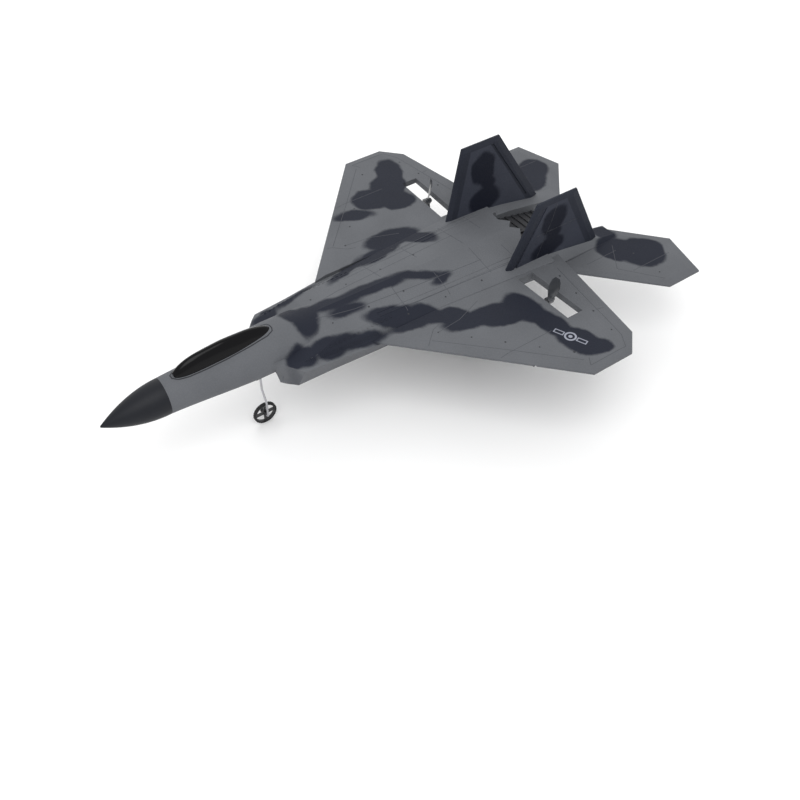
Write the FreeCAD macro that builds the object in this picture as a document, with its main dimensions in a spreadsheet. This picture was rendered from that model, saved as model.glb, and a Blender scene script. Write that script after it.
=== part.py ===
"""Foam twin-motor jet with a fixed tricycle undercarriage, built as separate named pieces.

Frame: nose towards -Y, left wing towards +X, +Z up. The origin is on the ground, midway
along the length. The wing's middle plane meets the centre line at wing_height.
"""
import FreeCAD, Part
import math
import os
import re
import Sketcher
from FreeCAD import Placement, Rotation, Vector

doc = FreeCAD.newDocument("rc_jet_plane")
sheet = doc.addObject("Spreadsheet::Sheet", "Sizes")

# Driving dimensions, in millimetres and degrees.
DRIVING = {
    # whole aircraft
    "overall_length": 420, "half_span": 143, "wing_height": 64.5, "dihedral": 2.3,
    # forebody and nose cone
    "nose_length": 41.5, "nose_radius": 12.1, "nose_droop": 1.8, "nose_tip_radius": 0.5,
    "spigot_length": 5, "spigot_radius": 9.5,
    # centre body
    "deck_height": 12.6, "shoulder_height": 8, "shoulder_half": 25.4, "belly_depth": 17,
    "intake_half": 32, "intake_station": 110, "intake_sweep": 39.5, "intake_rake": 21,
    "deck_end": 111, "boom_half": 37,
    "boom_inner": 22, "boom_end": 178, "seat_gap": 0.1,
    # canopy
    "canopy_half": 5.8, "canopy_top": 23, "canopy_floor": 9, "canopy_front": 160,
    "canopy_rear": 92.5,
    # wing
    "wing_thickness": 5.6, "wing_tip_thickness": 4, "wing_edge": 1.6, "wing_root": 36.8,
    "lead_edge_root": 37.3, "tip_lead": 55.8, "tip_trail": 88, "cut_corner": 129,
    "cut_corner_trail": 102, "trail_edge_root": 120.3, "tip_bevel": 5,
    # propeller slot
    "slot_inner": 44.5, "slot_outer": 95, "slot_front": 77, "slot_width": 13,
    # stabilisers
    "tail_drop": 9, "tail_thickness": 4, "tail_edge": 1.4, "tail_half": 100,
    # fins
    "fin_base_half": 33.5, "fin_front": 71.6, "fin_rear": 159.4, "fin_height": 60.3,
    "fin_tip_front": 91.4, "fin_tip_rear": 125.8, "fin_cant": 7.6, "fin_thickness": 4,
    "fin_tip_thickness": 3, "fin_edge": 1.2, "fin_bevel": 3.6, "rudder_chord": 9.4,
    "border_chord": 8.6, "groove_width": 2.4, "groove_depth": 0.7,
    # drive
    "motor_half": 70.4, "motor_radius": 3.5, "motor_length": 20, "motor_drop": 1.7,
    "shaft_radius": 0.5, "mount_wall": 1.2, "propeller_radius": 23, "propeller_station": 83.6,
    "hub_radius": 2.6, "hub_length": 6, "blade_root_pitch": 42, "blade_tip_pitch": 17,
    "blade_chord": 7.6, "lead_radius": 0.8, "lead_drop": 3.5,
    # belly tray and what it holds
    "tray_half": 18, "tray_front": 44, "tray_rear": 24, "tray_depth": 13.4, "tray_wall": 1.2,
    "flange_width": 4, "flange_thickness": 1.6, "bay_length": 40, "door_gap": 0.35,
    "door_thickness": 1.2, "thumb_radius": 4, "grip_depth": 0.4, "hinge_radius": 0.7,
    "hinge_clearance": 0.06, "knuckle_radius": 1.7, "knuckle_length": 6, "knuckle_outer": 12,
    "hinge_setback": 2.3, "pin_half": 14.5,
    "battery_half": 10.5, "battery_length": 34, "battery_thickness": 7.4,
    "board_half": 12, "board_length": 44, "board_thickness": 1, "switch_travel": 2.4,
    "knob_gap": 0.3, "knob_recess": 0.3, "switch_x": -9.4, "switch_y": 11.1, "knob_length": 2.2,
    "knob_width": 1.8, "lamp_x": 8, "lamp_y": 12, "lamp_radius": 1.5, "socket_y": 9.8,
    "socket_length": 4, "socket_width": 3.4, "screw_head": 1.3, "head_height": 0.9,
    "head_recess": 0.1, "head_clearance": 0.2, "screw_shank": 0.7,
    # undercarriage
    "wheel_radius": 8.4, "tyre_width": 2.6, "tyre_shoulder": 0.4, "rim_radius": 7.3,
    "rim_wall": 0.5, "spoke_width": 1.7, "axle_radius": 0.75,
    "axle_clearance": 0.08, "nose_wheel_station": 103.3, "main_wheel_station": 52,
    "main_wheel_half": 26, "leg_offset": 4.6, "collar_radius": 1.9, "hub_half": 2,
    "side_gap": 0.3,
}


def fill_sheet():
    for row, (alias, value) in enumerate(DRIVING.items(), start=1):
        sheet.set(f"A{row}", alias)
        sheet.set(f"B{row}", str(value))
        sheet.setAlias(f"B{row}", alias)
    doc.recompute()


def bound(rule):
    """Turn a rule such as 'tray_half + tray_wall' into an expression on the sheet."""
    return re.sub(r"[a-z_]+[a-z]", lambda m: "Sizes." + m[0] if m[0] in DRIVING else m[0], str(rule))


def number(rule):
    return float(sheet.evalExpression(bound(rule)))


def bind(item, prop, rule):
    item.setExpression(prop, bound(rule))


def place(item, x="0", y="0", z="0"):
    """Bind a position. Heights count from the wing's middle plane."""
    bind(item, "Placement.Base.x", x)
    bind(item, "Placement.Base.y", y)
    bind(item, "Placement.Base.z", f"wing_height + ({z})")


# ---------------------------------------------------------------- sketch helpers

def new_body(label):
    body = doc.addObject("PartDesign::Body", label)
    body.Label = label
    return body


def draw(body, name, role, offset, corners):
    """Closed outline of straight edges on one of the body's own planes, every corner bound."""
    sketch = body.newObject("Sketcher::SketchObject", name)
    plane = [item for item in body.Origin.OriginFeatures if item.Role == role][0]
    sketch.AttachmentSupport = (plane, [""])
    sketch.MapMode = "FlatFace"
    bind(sketch, "AttachmentOffset.Base.z", offset)
    spots = [Vector(number(across), number(up), 0) for across, up in corners]
    count = len(spots)
    for i in range(count):
        sketch.addGeometry(Part.LineSegment(spots[i], spots[(i + 1) % count]))
    for i in range(count):
        sketch.addConstraint(Sketcher.Constraint("Coincident", i, 2, (i + 1) % count, 1))
    for i, (across, up) in enumerate(corners):
        for kind, rule, size in (("DistanceX", across, spots[i].x), ("DistanceY", up, spots[i].y)):
            index = sketch.addConstraint(Sketcher.Constraint(kind, -1, 1, i, 1, size))
            bind(sketch, f"Constraints[{index}]", rule)
    return sketch


def loft(body, name, sketches, ruled=True):
    feature = body.newObject("PartDesign::AdditiveLoft", name)
    feature.Profile = sketches[0]
    feature.Sections = sketches[1:]
    feature.Ruled = ruled
    return feature


def pad(body, name, sketch, length, middle=False, cut=False):
    feature = body.newObject("PartDesign::Pocket" if cut else "PartDesign::Pad", name)
    feature.Profile = sketch
    bind(feature, "Length", length)
    if middle:
        feature.SideType = "Symmetric"
    return feature


def revolve(body, name, sketch, role="Z_Axis"):
    feature = body.newObject("PartDesign::Revolution", name)
    feature.Profile = sketch
    axis = [item for item in body.Origin.OriginFeatures if item.Role == role][0]
    feature.ReferenceAxis = (axis, [""])
    feature.Angle = 360
    return feature


def mirrored(corners):
    """Full outline from its right-hand half, listed from top to bottom."""
    return corners + [(f"-({across})", up) for across, up in reversed(corners) if across != "0"]


# ---------------------------------------------------------------- primitive helpers

def box(name, x, y, z, length, width, height):
    """Box from its low corner; heights count from the wing's middle plane."""
    item = doc.addObject("Part::Box", name)
    for prop, rule in (("Length", length), ("Width", width), ("Height", height)):
        bind(item, prop, rule)
    place(item, x, y, z)
    return item


def rod(name, radius, length, x, y, z, along="Z"):
    """Cylinder that starts at x, y, z and runs towards +X, +Y or +Z."""
    item = doc.addObject("Part::Cylinder", name)
    bind(item, "Radius", radius)
    bind(item, "Height", length)
    turns = {"X": Rotation(Vector(0, 1, 0), 90), "Y": Rotation(Vector(1, 0, 0), -90),
             "Z": Rotation()}
    item.Placement = Placement(Vector(), turns[along])
    place(item, x, y, z)
    return item


def fuse(name, items):
    item = doc.addObject("Part::MultiFuse", name)
    item.Shapes = items
    return item


def cut(name, base, tool):
    item = doc.addObject("Part::Cut", name)
    item.Base = base
    item.Tool = tool
    return item


def common(name, base, tool):
    item = doc.addObject("Part::Common", name)
    item.Base = base
    item.Tool = tool
    return item


def group(name, items):
    """Separate solids of one node."""
    item = doc.addObject("Part::Compound", name)
    item.Links = items
    return item


def ellipse(name, across, high, y, z, upright=False):
    """Ellipse across the aircraft. An upright one has its long axis along Z."""
    item = doc.addObject("Part::Ellipse", name)
    bind(item, "MajorRadius", high if upright else across)
    bind(item, "MinorRadius", across if upright else high)
    turn = Rotation(Vector(1, 1, 1), 240) if upright else Rotation(Vector(1, 0, 0), 90)
    item.Placement = Placement(Vector(), turn)
    place(item, "0", y, z)
    return item


def skin(name, sections):
    item = doc.addObject("Part::Loft", name)
    item.Sections = sections
    item.Solid = True
    item.Ruled = False
    return item


def finish(item, label):
    item.Label = label
    nodes[label] = item
    return item


def tube_shape(points, radius):
    """Round tube along straight runs joined by tangent arcs, each as large as its runs allow."""
    spots = [Vector(*point) for point in points]
    edges = []
    start = spots[0]
    for before, corner, after in zip(spots, spots[1:], spots[2:]):
        into, out = corner - before, after - corner
        reach = 0.45 * min(into.Length, out.Length)
        arc_start = corner - into * (reach / into.Length)
        arc_end = corner + out * (reach / out.Length)
        turn = into.getAngle(out)
        bend = reach / math.tan(turn / 2)
        towards = (out / out.Length - into / into.Length).normalize()
        centre = corner + towards * math.hypot(reach, bend)
        middle = centre - towards * bend
        edges.append(Part.LineSegment(start, arc_start).toShape())
        edges.append(Part.Arc(arc_start, middle, arc_end).toShape())
        start = arc_end
        print(f"  bend radius {bend:.1f}")
    edges.append(Part.LineSegment(start, spots[-1]).toShape())
    path = Part.Wire(edges)
    profile = Part.Wire(Part.makeCircle(radius, spots[0], spots[1] - spots[0]))
    tube = path.makePipeShell([profile], True, True)
    expected = math.pi * radius ** 2 * path.Length
    print(f"  tube volume over section times length: {tube.Volume / expected:.4f}")
    return tube


def tube(label, points, radius):
    item = doc.addObject("Part::Feature", label)
    item.Shape = tube_shape([[number(rule) for rule in point] for point in points], number(radius))
    item.Placement = Placement(Vector(0, 0, number("wing_height")), Rotation())
    return item


fill_sheet()
nodes = {}
SIDES = (("left", 1), ("right", -1))
AXLE = "-(wing_height - wheel_radius)"
vane_count = 6
bounds_slack = 0.5
STATION_NOSE = "-(overall_length / 2 - nose_length)"


# ---------------------------------------------------------------- flat surfaces

def plate(label, stations, tilt="0", upright=False):
    """Foam plate lofted through thin six-sided sections: a bevelled leading and trailing edge.

    Each station is (distance out, leading edge, trailing edge, thickness, edge thickness,
    length of the front bevel, length of the rear bevel).
    """
    body = new_body(label)
    role = "XY_Plane" if upright else "YZ_Plane"
    sketches = []
    for i, (out, lead, trail, thick, edge, front, rear) in enumerate(stations):
        profile = [(lead, f"({edge}) / 2"), (f"{lead} + {front}", f"({thick}) / 2"),
                   (f"{trail} - {rear}", f"({thick}) / 2"), (trail, f"({edge}) / 2")]
        corners = profile + [(along, f"-{half}") for along, half in reversed(profile)]
        if upright:
            corners = [(half, along) for along, half in corners]
        sketches.append(draw(body, f"{label}_section_{i}", role, out, corners))
    loft(body, f"{label}_plate", sketches)
    return body


def blend(start, end, share):
    """Rule for the value a given share of the way from start to end."""
    return f"({start}) + (({end}) - ({start})) * ({share})"


def groove(body, name, stations, face, upright=False):
    """Shallow groove along one face of a plate; each station is (distance out, along, half)."""
    role = "XY_Plane" if upright else "YZ_Plane"
    sketches = []
    for i, (out, along, half) in enumerate(stations):
        low, high = f"{face} * ({half} - groove_depth)", f"{face} * ({half} + 1)"
        front, rear = f"{along} - groove_width / 2", f"{along} + groove_width / 2"
        corners = [(front, low), (rear, low), (rear, high), (front, high)]
        if upright:
            corners = [(across, length) for length, across in corners]
        sketches.append(draw(body, f"{name}_section_{i}", role, out, corners))
    feature = body.newObject("PartDesign::SubtractiveLoft", name)
    feature.Profile = sketches[0]
    feature.Sections = sketches[1:]
    feature.Ruled = True
    return feature


def tilt(item, side, angle):
    """Turn a wing-like piece about the aircraft's length, tip up, keeping its place bound."""
    item.Placement = Placement(Vector(), Rotation(Vector(0, -side, 0), number(angle)))
    place(item)
    bind(item, "Placement.Rotation.Angle", angle)
    return item


def make_wing(name, side):
    root, edge = "wing_thickness", "wing_edge"
    tip = "wing_tip_thickness"
    at_corner = "(cut_corner - wing_root) / (half_span - wing_root)"
    corner_lead = blend("-lead_edge_root", "tip_lead", at_corner)
    near_tip = "(half_span - tip_bevel - cut_corner) / (half_span - cut_corner)"
    stations = [
        (f"{side} * wing_root", "-lead_edge_root", "trail_edge_root", root, edge, "9", "22"),
        (f"{side} * cut_corner", corner_lead, "cut_corner_trail", tip, edge, "7", "14"),
        (f"{side} * (half_span - tip_bevel)", blend(corner_lead, "tip_lead", near_tip),
         blend("cut_corner_trail", "tip_trail", near_tip), tip, edge, "6.5", "9"),
        (f"{side} * half_span", "tip_lead", "tip_trail", edge, edge, "6", "6"),
    ]
    body = plate(f"wing_panel_{name}", stations)
    inner, outer = ("slot_inner", "slot_outer") if side > 0 else ("-slot_outer", "-slot_inner")
    slot = draw(body, f"slot_{name}", "XY_Plane", "0",
                [(inner, "slot_front"), (outer, "slot_front"),
                 (outer, "slot_front + slot_width"), (inner, "slot_front + slot_width")])
    pad(body, f"slot_cut_{name}", slot, "40", middle=True, cut=True)
    pocket_half = "(motor_radius + mount_wall + seat_gap)"
    pocket = draw(body, f"motor_pocket_{name}", "XY_Plane", "-wing_thickness",
                  [(f"{side} * motor_half - {pocket_half}", "slot_front - 34"),
                   (f"{side} * motor_half + {pocket_half}", "slot_front - 34"),
                   (f"{side} * motor_half + {pocket_half}", "slot_front + 1"),
                   (f"{side} * motor_half - {pocket_half}", "slot_front + 1")])
    deep = "wing_thickness - motor_drop + motor_radius + seat_gap"
    feature = pad(body, f"motor_pocket_cut_{name}", pocket, deep, cut=True)
    feature.Reversed = True
    groove_low, groove_high = ("18", "116") if side > 0 else ("-116", "-18")
    groove = draw(body, f"spar_groove_{name}", "XY_Plane", "-wing_thickness",
                  [(groove_low, "30.9"), (groove_high, "30.9"), (groove_high, "33.1"), (groove_low, "33.1")])
    feature = pad(body, f"spar_groove_cut_{name}", groove, "wing_thickness - 0.2", cut=True)
    feature.Reversed = True
    tilt(body, side, "dihedral")
    return finish(body, f"wing_{name}")


def make_fin(name, side):
    """Canted fin: bevelled leading edge and top, a rudder line inside and a border line outside."""
    root, tip, edge = "fin_thickness", "fin_tip_thickness", "fin_edge"
    lead, trail = "fin_front - 0.7", "fin_rear + 1.1"
    at_bevel = "(fin_height - fin_bevel + 2) / (fin_height + 2)"
    near_lead, near_trail = blend(lead, "fin_tip_front", at_bevel), blend(trail, "fin_tip_rear", at_bevel)
    stations = [
        ("-2", lead, trail, root, edge, "fin_bevel", "6"),
        ("fin_height - fin_bevel", near_lead, near_trail, tip, edge, "fin_bevel", "5"),
        ("fin_height", "fin_tip_front", "fin_tip_rear", edge, edge, "3", "3"),
    ]
    body = plate(f"fin_panel_{name}", stations, upright=True)
    low, high = "3", "fin_height - fin_bevel - 1"
    inner_line = [(low, f"{trail} - rudder_chord - 2.4", f"{root} / 2"),
                  (high, f"{near_trail} - rudder_chord", f"{tip} / 2")]
    outer_line = [(low, f"{lead} + border_chord", f"{root} / 2"),
                  (high, f"{near_lead} + border_chord", f"{tip} / 2")]
    groove(body, f"rudder_line_{name}", inner_line, -side, upright=True)
    groove(body, f"border_line_{name}", outer_line, side, upright=True)
    body.Placement = Placement(Vector(), Rotation(Vector(0, side, 0), number("fin_cant")))
    place(body, f"{side} * fin_base_half", "0", "0")
    bind(body, "Placement.Rotation.Angle", "fin_cant")
    return finish(body, f"fin_{name}")


def make_stabiliser(name, side):
    thick, edge = "tail_thickness", "tail_edge"
    near_tip = "(tail_half - tip_bevel - 61.6) / (tail_half - 61.6)"
    stations = [
        (f"{side} * (boom_inner + 2)", "110", "boom_end", thick, edge, "4", "6"),
        (f"{side} * (boom_half + 1)", "114.5", "boom_end + 11.8", thick, edge, "6", "9"),
        (f"{side} * 61.6", "135.6", "overall_length / 2", thick, edge, "6", "10"),
        (f"{side} * (tail_half - tip_bevel)", blend("135.6", "170.3", near_tip),
         blend("overall_length / 2", "overall_length / 2 - 10.4", near_tip), thick, edge, "6", "7"),
        (f"{side} * tail_half", "170.3", "overall_length / 2 - 10.4", edge, edge, "5", "5"),
    ]
    body = plate(f"stabiliser_panel_{name}", stations)
    place(body, "0", "0", "-tail_drop")
    return finish(body, f"stabiliser_{name}")


# ---------------------------------------------------------------- fuselage

def forebody(half, centres):
    """Round forebody that flattens into the deck behind the canopy, for one half of the foam.

    Each row is station, half width and crown height. Both halves share them, so they meet
    at the parting plane; the centres set how low the rings hang.
    """
    rows = [(STATION_NOSE, "nose_radius", "nose_radius - 0.5"), ("-148", "13.3", "12.6"),
            ("-130", "14.6", "13.7"), ("-110", "16.3", "15.5"), ("-93", "17.7", "16.8"),
            ("-80", "18.8", "15.6"), ("-64", "20", "deck_height + 1"), ("-44", "21", "deck_height - 1")]
    rings = [ellipse(f"forebody_{half}_ring_{i}", across, f"{crown} - ({centre})", y, centre)
             for i, ((y, across, crown), centre) in enumerate(zip(rows, centres))]
    front = skin(f"forebody_{half}_skin", rings[:5])
    rear = skin(f"forebody_{half}_fairing", rings[4:])
    rear.Ruled = True
    return fuse(f"forebody_{half}_form", [front, rear])


def deck():
    """Faceted upper body: crown, shoulder, ledge and side, down to the parting plane."""
    rows = [
        ("-intake_station", "1.9", ("19", "1.9"), ("25", "1.7"), ("intake_half - 1", "0")),
        ("-88", "4", ("26.3", "2.4"), ("27.8", "1.9"), ("intake_half + 1.2", "0")),
        ("-75", "10", ("28", "3.8"), ("29.6", "1.6"), ("intake_half + 2.4", "0")),
        ("-62", "deck_height + 0.4", ("shoulder_half + 0.4", "shoulder_height"), ("31", "1.6"),
         ("intake_half + 3.6", "0")),
        ("-32", "deck_height", ("shoulder_half - 0.4", "shoulder_height + 0.2"), ("34.5", "2.6"),
         ("39.6", "0")),
        ("15", "deck_height - 0.6", ("shoulder_half + 1.4", "shoulder_height"), ("36.6", "4.6"), ("39.6", "0")),
        ("74", "deck_height - 1.6", ("32.7", "shoulder_height - 0.2"), ("41", "4.8"), ("42.6", "0")),
        ("deck_end", "deck_height - 2.2", ("35.4", "shoulder_height - 1.6"), ("43.8", "4.6"), ("44.2", "0")),
    ]
    body = new_body("deck_body")
    sketches = []
    for i, (y, crown, shoulder, ledge, side) in enumerate(rows):
        outline = mirrored([("0", crown), shoulder, ledge, side])
        sketches.append(draw(body, f"deck_section_{i}", "XZ_Plane", f"-({y})", outline))
    loft(body, "deck_loft", sketches)
    place(body)
    return body


def belly():
    """Faceted lower body, from the parting plane down to the flat keel."""
    rows = [
        ("-intake_station", ("intake_half - 1", "0"), ("26", "-15"), ("20", "-belly_depth + 1")),
        ("-88", ("intake_half + 1.2", "0"), ("26.8", "-15.8"), ("21", "-belly_depth")),
        ("-62", ("intake_half + 3.6", "0"), ("27.5", "-15.6"), ("22", "-belly_depth")),
        ("-32", ("39.6", "0"), ("29.6", "-15"), ("22.5", "-belly_depth")),
        ("30", ("39.6 + 3 * 15 / 59", "0"), ("31.8", "-14.4"), ("22.5", "-belly_depth")),
        ("74", ("42.6", "0"), ("34", "-13"), ("20", "-belly_depth + 2")),
        ("deck_end", ("44.2", "0"), ("boom_half + 2", "-tail_drop - 2"), ("21", "-belly_depth + 4.6")),
    ]
    body = new_body("belly_body")
    sketches = []
    for i, (y, side, corner, keel) in enumerate(rows):
        outline = mirrored([side, corner, keel])
        sketches.append(draw(body, f"belly_section_{i}", "XZ_Plane", f"-({y})", outline))
    loft(body, "belly_loft", sketches)
    place(body)
    return body


def boom(name, side):
    """Tail boom beside the exhaust, thinning towards the rear."""
    rows = [
        ("deck_end", "boom_inner", "4.6", "boom_half - 0.5", "5.6", "boom_half + 7", "-3"),
        ("deck_end + 14", "boom_inner", "3.4", "boom_half - 1", "3.4", "boom_half + 3", "-5"),
        ("boom_end", "boom_inner + 1", "-6.2", "boom_half - 1.5", "-6.2", "boom_half + 1", "-7.6"),
    ]
    body = new_body(f"boom_body_{name}")
    sketches = []
    for i, (y, inner, inner_top, outer, outer_top, edge, edge_height) in enumerate(rows):
        outline = [(inner, inner_top), (outer, outer_top), (edge, edge_height),
                   ("boom_half + 1", "-tail_drop - 2.4"), (inner, "-tail_drop - 2.4")]
        outline = [(f"{side} * ({across})", up) for across, up in outline]
        sketches.append(draw(body, f"boom_section_{name}_{i}", "XZ_Plane", f"-({y})", outline))
    loft(body, f"boom_loft_{name}", sketches)
    place(body)
    return body


def exhaust_floor():
    """Thin foam floor that carries the exhaust plate between the booms."""
    body = new_body("exhaust_floor_body")
    rows = [("deck_end - 1", "-belly_depth + 4.6", "-3"), ("150", "-tail_drop - 1.2", "-8.6")]
    sketches = []
    for i, (y, low, high) in enumerate(rows):
        outline = [("-boom_inner - 1", low), ("boom_inner + 1", low), ("boom_inner + 1", high),
                   ("-boom_inner - 1", high)]
        sketches.append(draw(body, f"exhaust_floor_section_{i}", "XZ_Plane", f"-({y})", outline))
    loft(body, "exhaust_floor_loft", sketches)
    place(body)
    return body


def lip_tool(name, side):
    """Block that trims one intake front to its swept and raked lip."""
    body = new_body(f"lip_tool_{name}")
    run = "60 * tan(intake_sweep)"
    rows = [("30", "0"), ("-30", "30 * tan(intake_rake)")]
    sketches = []
    for i, (height, back) in enumerate(rows):
        inner_y = f"-intake_station + 4 + {back}"
        outline = [(f"{-side} * 2", f"{inner_y} + 4"), (f"{side} * 17", inner_y),
                   (f"{side} * 77", f"{inner_y} + {run}"), (f"{side} * 77", "-200"),
                   (f"{-side} * 2", "-200")]
        sketches.append(draw(body, f"lip_tool_section_{name}_{i}", "XY_Plane", height, outline))
    loft(body, f"lip_tool_loft_{name}", sketches)
    place(body)
    return body


def check_fused(form):
    """A fuse can drop a piece without any error, so the form must still hold all of them."""
    shape = form.Shape
    if shape.isNull() or len(shape.Solids) != 1:
        raise RuntimeError(f"{form.Name} is not one solid")
    whole = shape.optimalBoundingBox(False, False)
    volumes = [piece.Shape.Volume for piece in form.Shapes]
    for piece in form.Shapes:
        part = piece.Shape.optimalBoundingBox(False, False)
        low = min(part.XMin - whole.XMin, part.YMin - whole.YMin, part.ZMin - whole.ZMin)
        high = min(whole.XMax - part.XMax, whole.YMax - part.YMax, whole.ZMax - part.ZMax)
        if min(low, high) < -bounds_slack:
            raise RuntimeError(f"{form.Name} has lost {piece.Name}")
    if not max(volumes) < shape.Volume < sum(volumes):
        raise RuntimeError(f"{form.Name} holds {shape.Volume:.0f} of {sum(volumes):.0f}")


def make_fuselage():
    upper_ring = forebody("upper", ("-0.5", "-0.5", "-0.6", "-0.5", "-0.5", "-0.8", "-1.2", "-1.6"))
    lower_ring = forebody("lower", ("-0.5", "-0.5", "-0.6", "-0.1", "0.9", "0.8", "0.3", "0"))
    tools = [lip_tool(name, side) for name, side in SIDES]
    upper_space = box("upper_space", "-200", "-250", "0", "400", "500", "60")
    lower_space = box("lower_space", "-200", "-250", "-60", "400", "500", "60")
    trimmed_deck = cut("deck_lip_left", cut("deck_lip_right", deck(), tools[1]), tools[0])
    trimmed_belly = cut("belly_lip_left", cut("belly_lip_right", belly(), tools[1]), tools[0])
    booms = [boom(name, side) for name, side in SIDES]
    both_booms = fuse("both_booms", booms)
    upper = fuse("upper_form", [common("forebody_upper", upper_ring, upper_space), trimmed_deck,
                                common("booms_upper", both_booms, upper_space)])
    lower = fuse("lower_form", [common("forebody_lower", lower_ring, lower_space), trimmed_belly,
                                common("booms_lower", both_booms, lower_space), exhaust_floor()])
    doc.recompute()
    check_fused(upper)
    check_fused(lower)
    return upper, lower


def make_nose_cone():
    """Pointed cone on a short spigot, drooping a little towards its tip."""
    sections = []
    steps = 7
    for i in range(steps + 1):
        share = 1 - (1 - i / steps) ** 1.6
        radius = f"nose_radius - (nose_radius - nose_tip_radius) * {share ** 2:.4f}"
        sections.append(ellipse(f"nose_ring_{i}", radius, radius,
                                f"{STATION_NOSE} - nose_length * {share:.4f}",
                                f"-0.5 - nose_droop * {share:.4f}"))
    cone = skin("nose_skin", sections)
    spigot = rod("nose_spigot", "spigot_radius", "spigot_length", "0", STATION_NOSE, "-0.5", "Y")
    return finish(fuse("nose_cone", [cone, spigot]), "nose_cone")


def make_canopy():
    """Narrow bubble with blunt ends; each row is station, half width, half height, centre."""
    rows = [("-canopy_front", "1.6", "2", "12"), ("-canopy_front + 3", "3.7", "6.2", "10.4"),
            ("-canopy_front + 9", "4.8", "canopy_top - 13.4", "10"),
            ("-canopy_front + 21", "canopy_half - 0.4", "canopy_top - 11", "10"),
            ("-canopy_front + 34", "canopy_half", "canopy_top - 10", "10"),
            ("-canopy_rear - 17", "canopy_half - 0.1", "canopy_top - 10.6", "10"),
            ("-canopy_rear - 5", "canopy_half - 1", "canopy_top - 13.2", "10"),
            ("-canopy_rear - 1", "canopy_half - 2.4", "canopy_top - 15.4", "10"),
            ("-canopy_rear", "1.8", "5.6", "10.6")]
    rings = [ellipse(f"canopy_ring_{i}", across, high, y, z, upright=True)
             for i, (y, across, high, z) in enumerate(rows)]
    bubble = skin("canopy_bubble", rings)
    above = box("canopy_space", "-20", "-180", "canopy_floor", "40", "100", "30")
    return finish(common("canopy", bubble, above), "canopy")


def sawtooth_tool():
    """Zigzag block that gives the deck's rear edge its teeth."""
    body = new_body("sawtooth_body")
    teeth = [("boom_inner", "deck_end - 3.5"), ("13", "deck_end - 5.5"), ("5.5", "deck_end"),
             ("0", "deck_end - 6"), ("-5.5", "deck_end"), ("-13", "deck_end - 5.5"),
             ("-boom_inner", "deck_end - 3.5"), ("-boom_inner", "deck_end + 2"),
             ("boom_inner", "deck_end + 2")]
    pad(body, "sawtooth_pad", draw(body, "sawtooth_outline", "XY_Plane", "2.2", teeth), "20")
    place(body)
    return body


def make_exhaust_plate():
    """Black moulding between the booms: two nozzle ramps with cross vanes beside a centre rib."""
    body = new_body("exhaust_body")
    start, end = "deck_end - 6.5", "149"
    rows = [(start, "-3", "2.2"), (end, "-8.6", "-6.8")]
    sketches = []
    half = "boom_inner - seat_gap"
    for i, (y, low, high) in enumerate(rows):
        outline = [(f"-({half})", low), (half, low), (half, high), (f"-({half})", high)]
        sketches.append(draw(body, f"exhaust_section_{i}", "XZ_Plane", f"-({y})", outline))
    loft(body, "exhaust_loft", sketches)
    place(body)
    vanes = []
    for i in range(vane_count):
        share = (i + 1.4) / (vane_count + 1)
        height = f"{blend('2.2', '-6.8', share)} - 0.6"
        vanes.append(box(f"exhaust_vane_{i}", f"-({half})", blend(start, end, share), height,
                         f"2 * ({half})", "1.4", "1.3"))
    rib = new_body("exhaust_rib_body")
    rib_sections = []
    for i, (y, low, high) in enumerate(rows):
        outline = [("-1.2", low), ("1.2", low), ("0.8", f"{high} + 1.6"), ("-0.8", f"{high} + 1.6")]
        rib_sections.append(draw(rib, f"exhaust_rib_section_{i}", "XZ_Plane", f"-({y})", outline))
    loft(rib, "exhaust_rib_loft", rib_sections)
    place(rib)
    return finish(fuse("exhaust", [body, rib] + vanes), "exhaust_plate")


# ---------------------------------------------------------------- drive, in the wing's own frame

def wing_box(name, x, y, z, length, width, height):
    item = box(name, x, y, z, length, width, height)
    bind(item, "Placement.Base.z", z)
    return item


def wing_rod(name, radius, length, x, y, z, along="Y"):
    item = rod(name, radius, length, x, y, z, along)
    bind(item, "Placement.Base.z", z)
    return item


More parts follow.
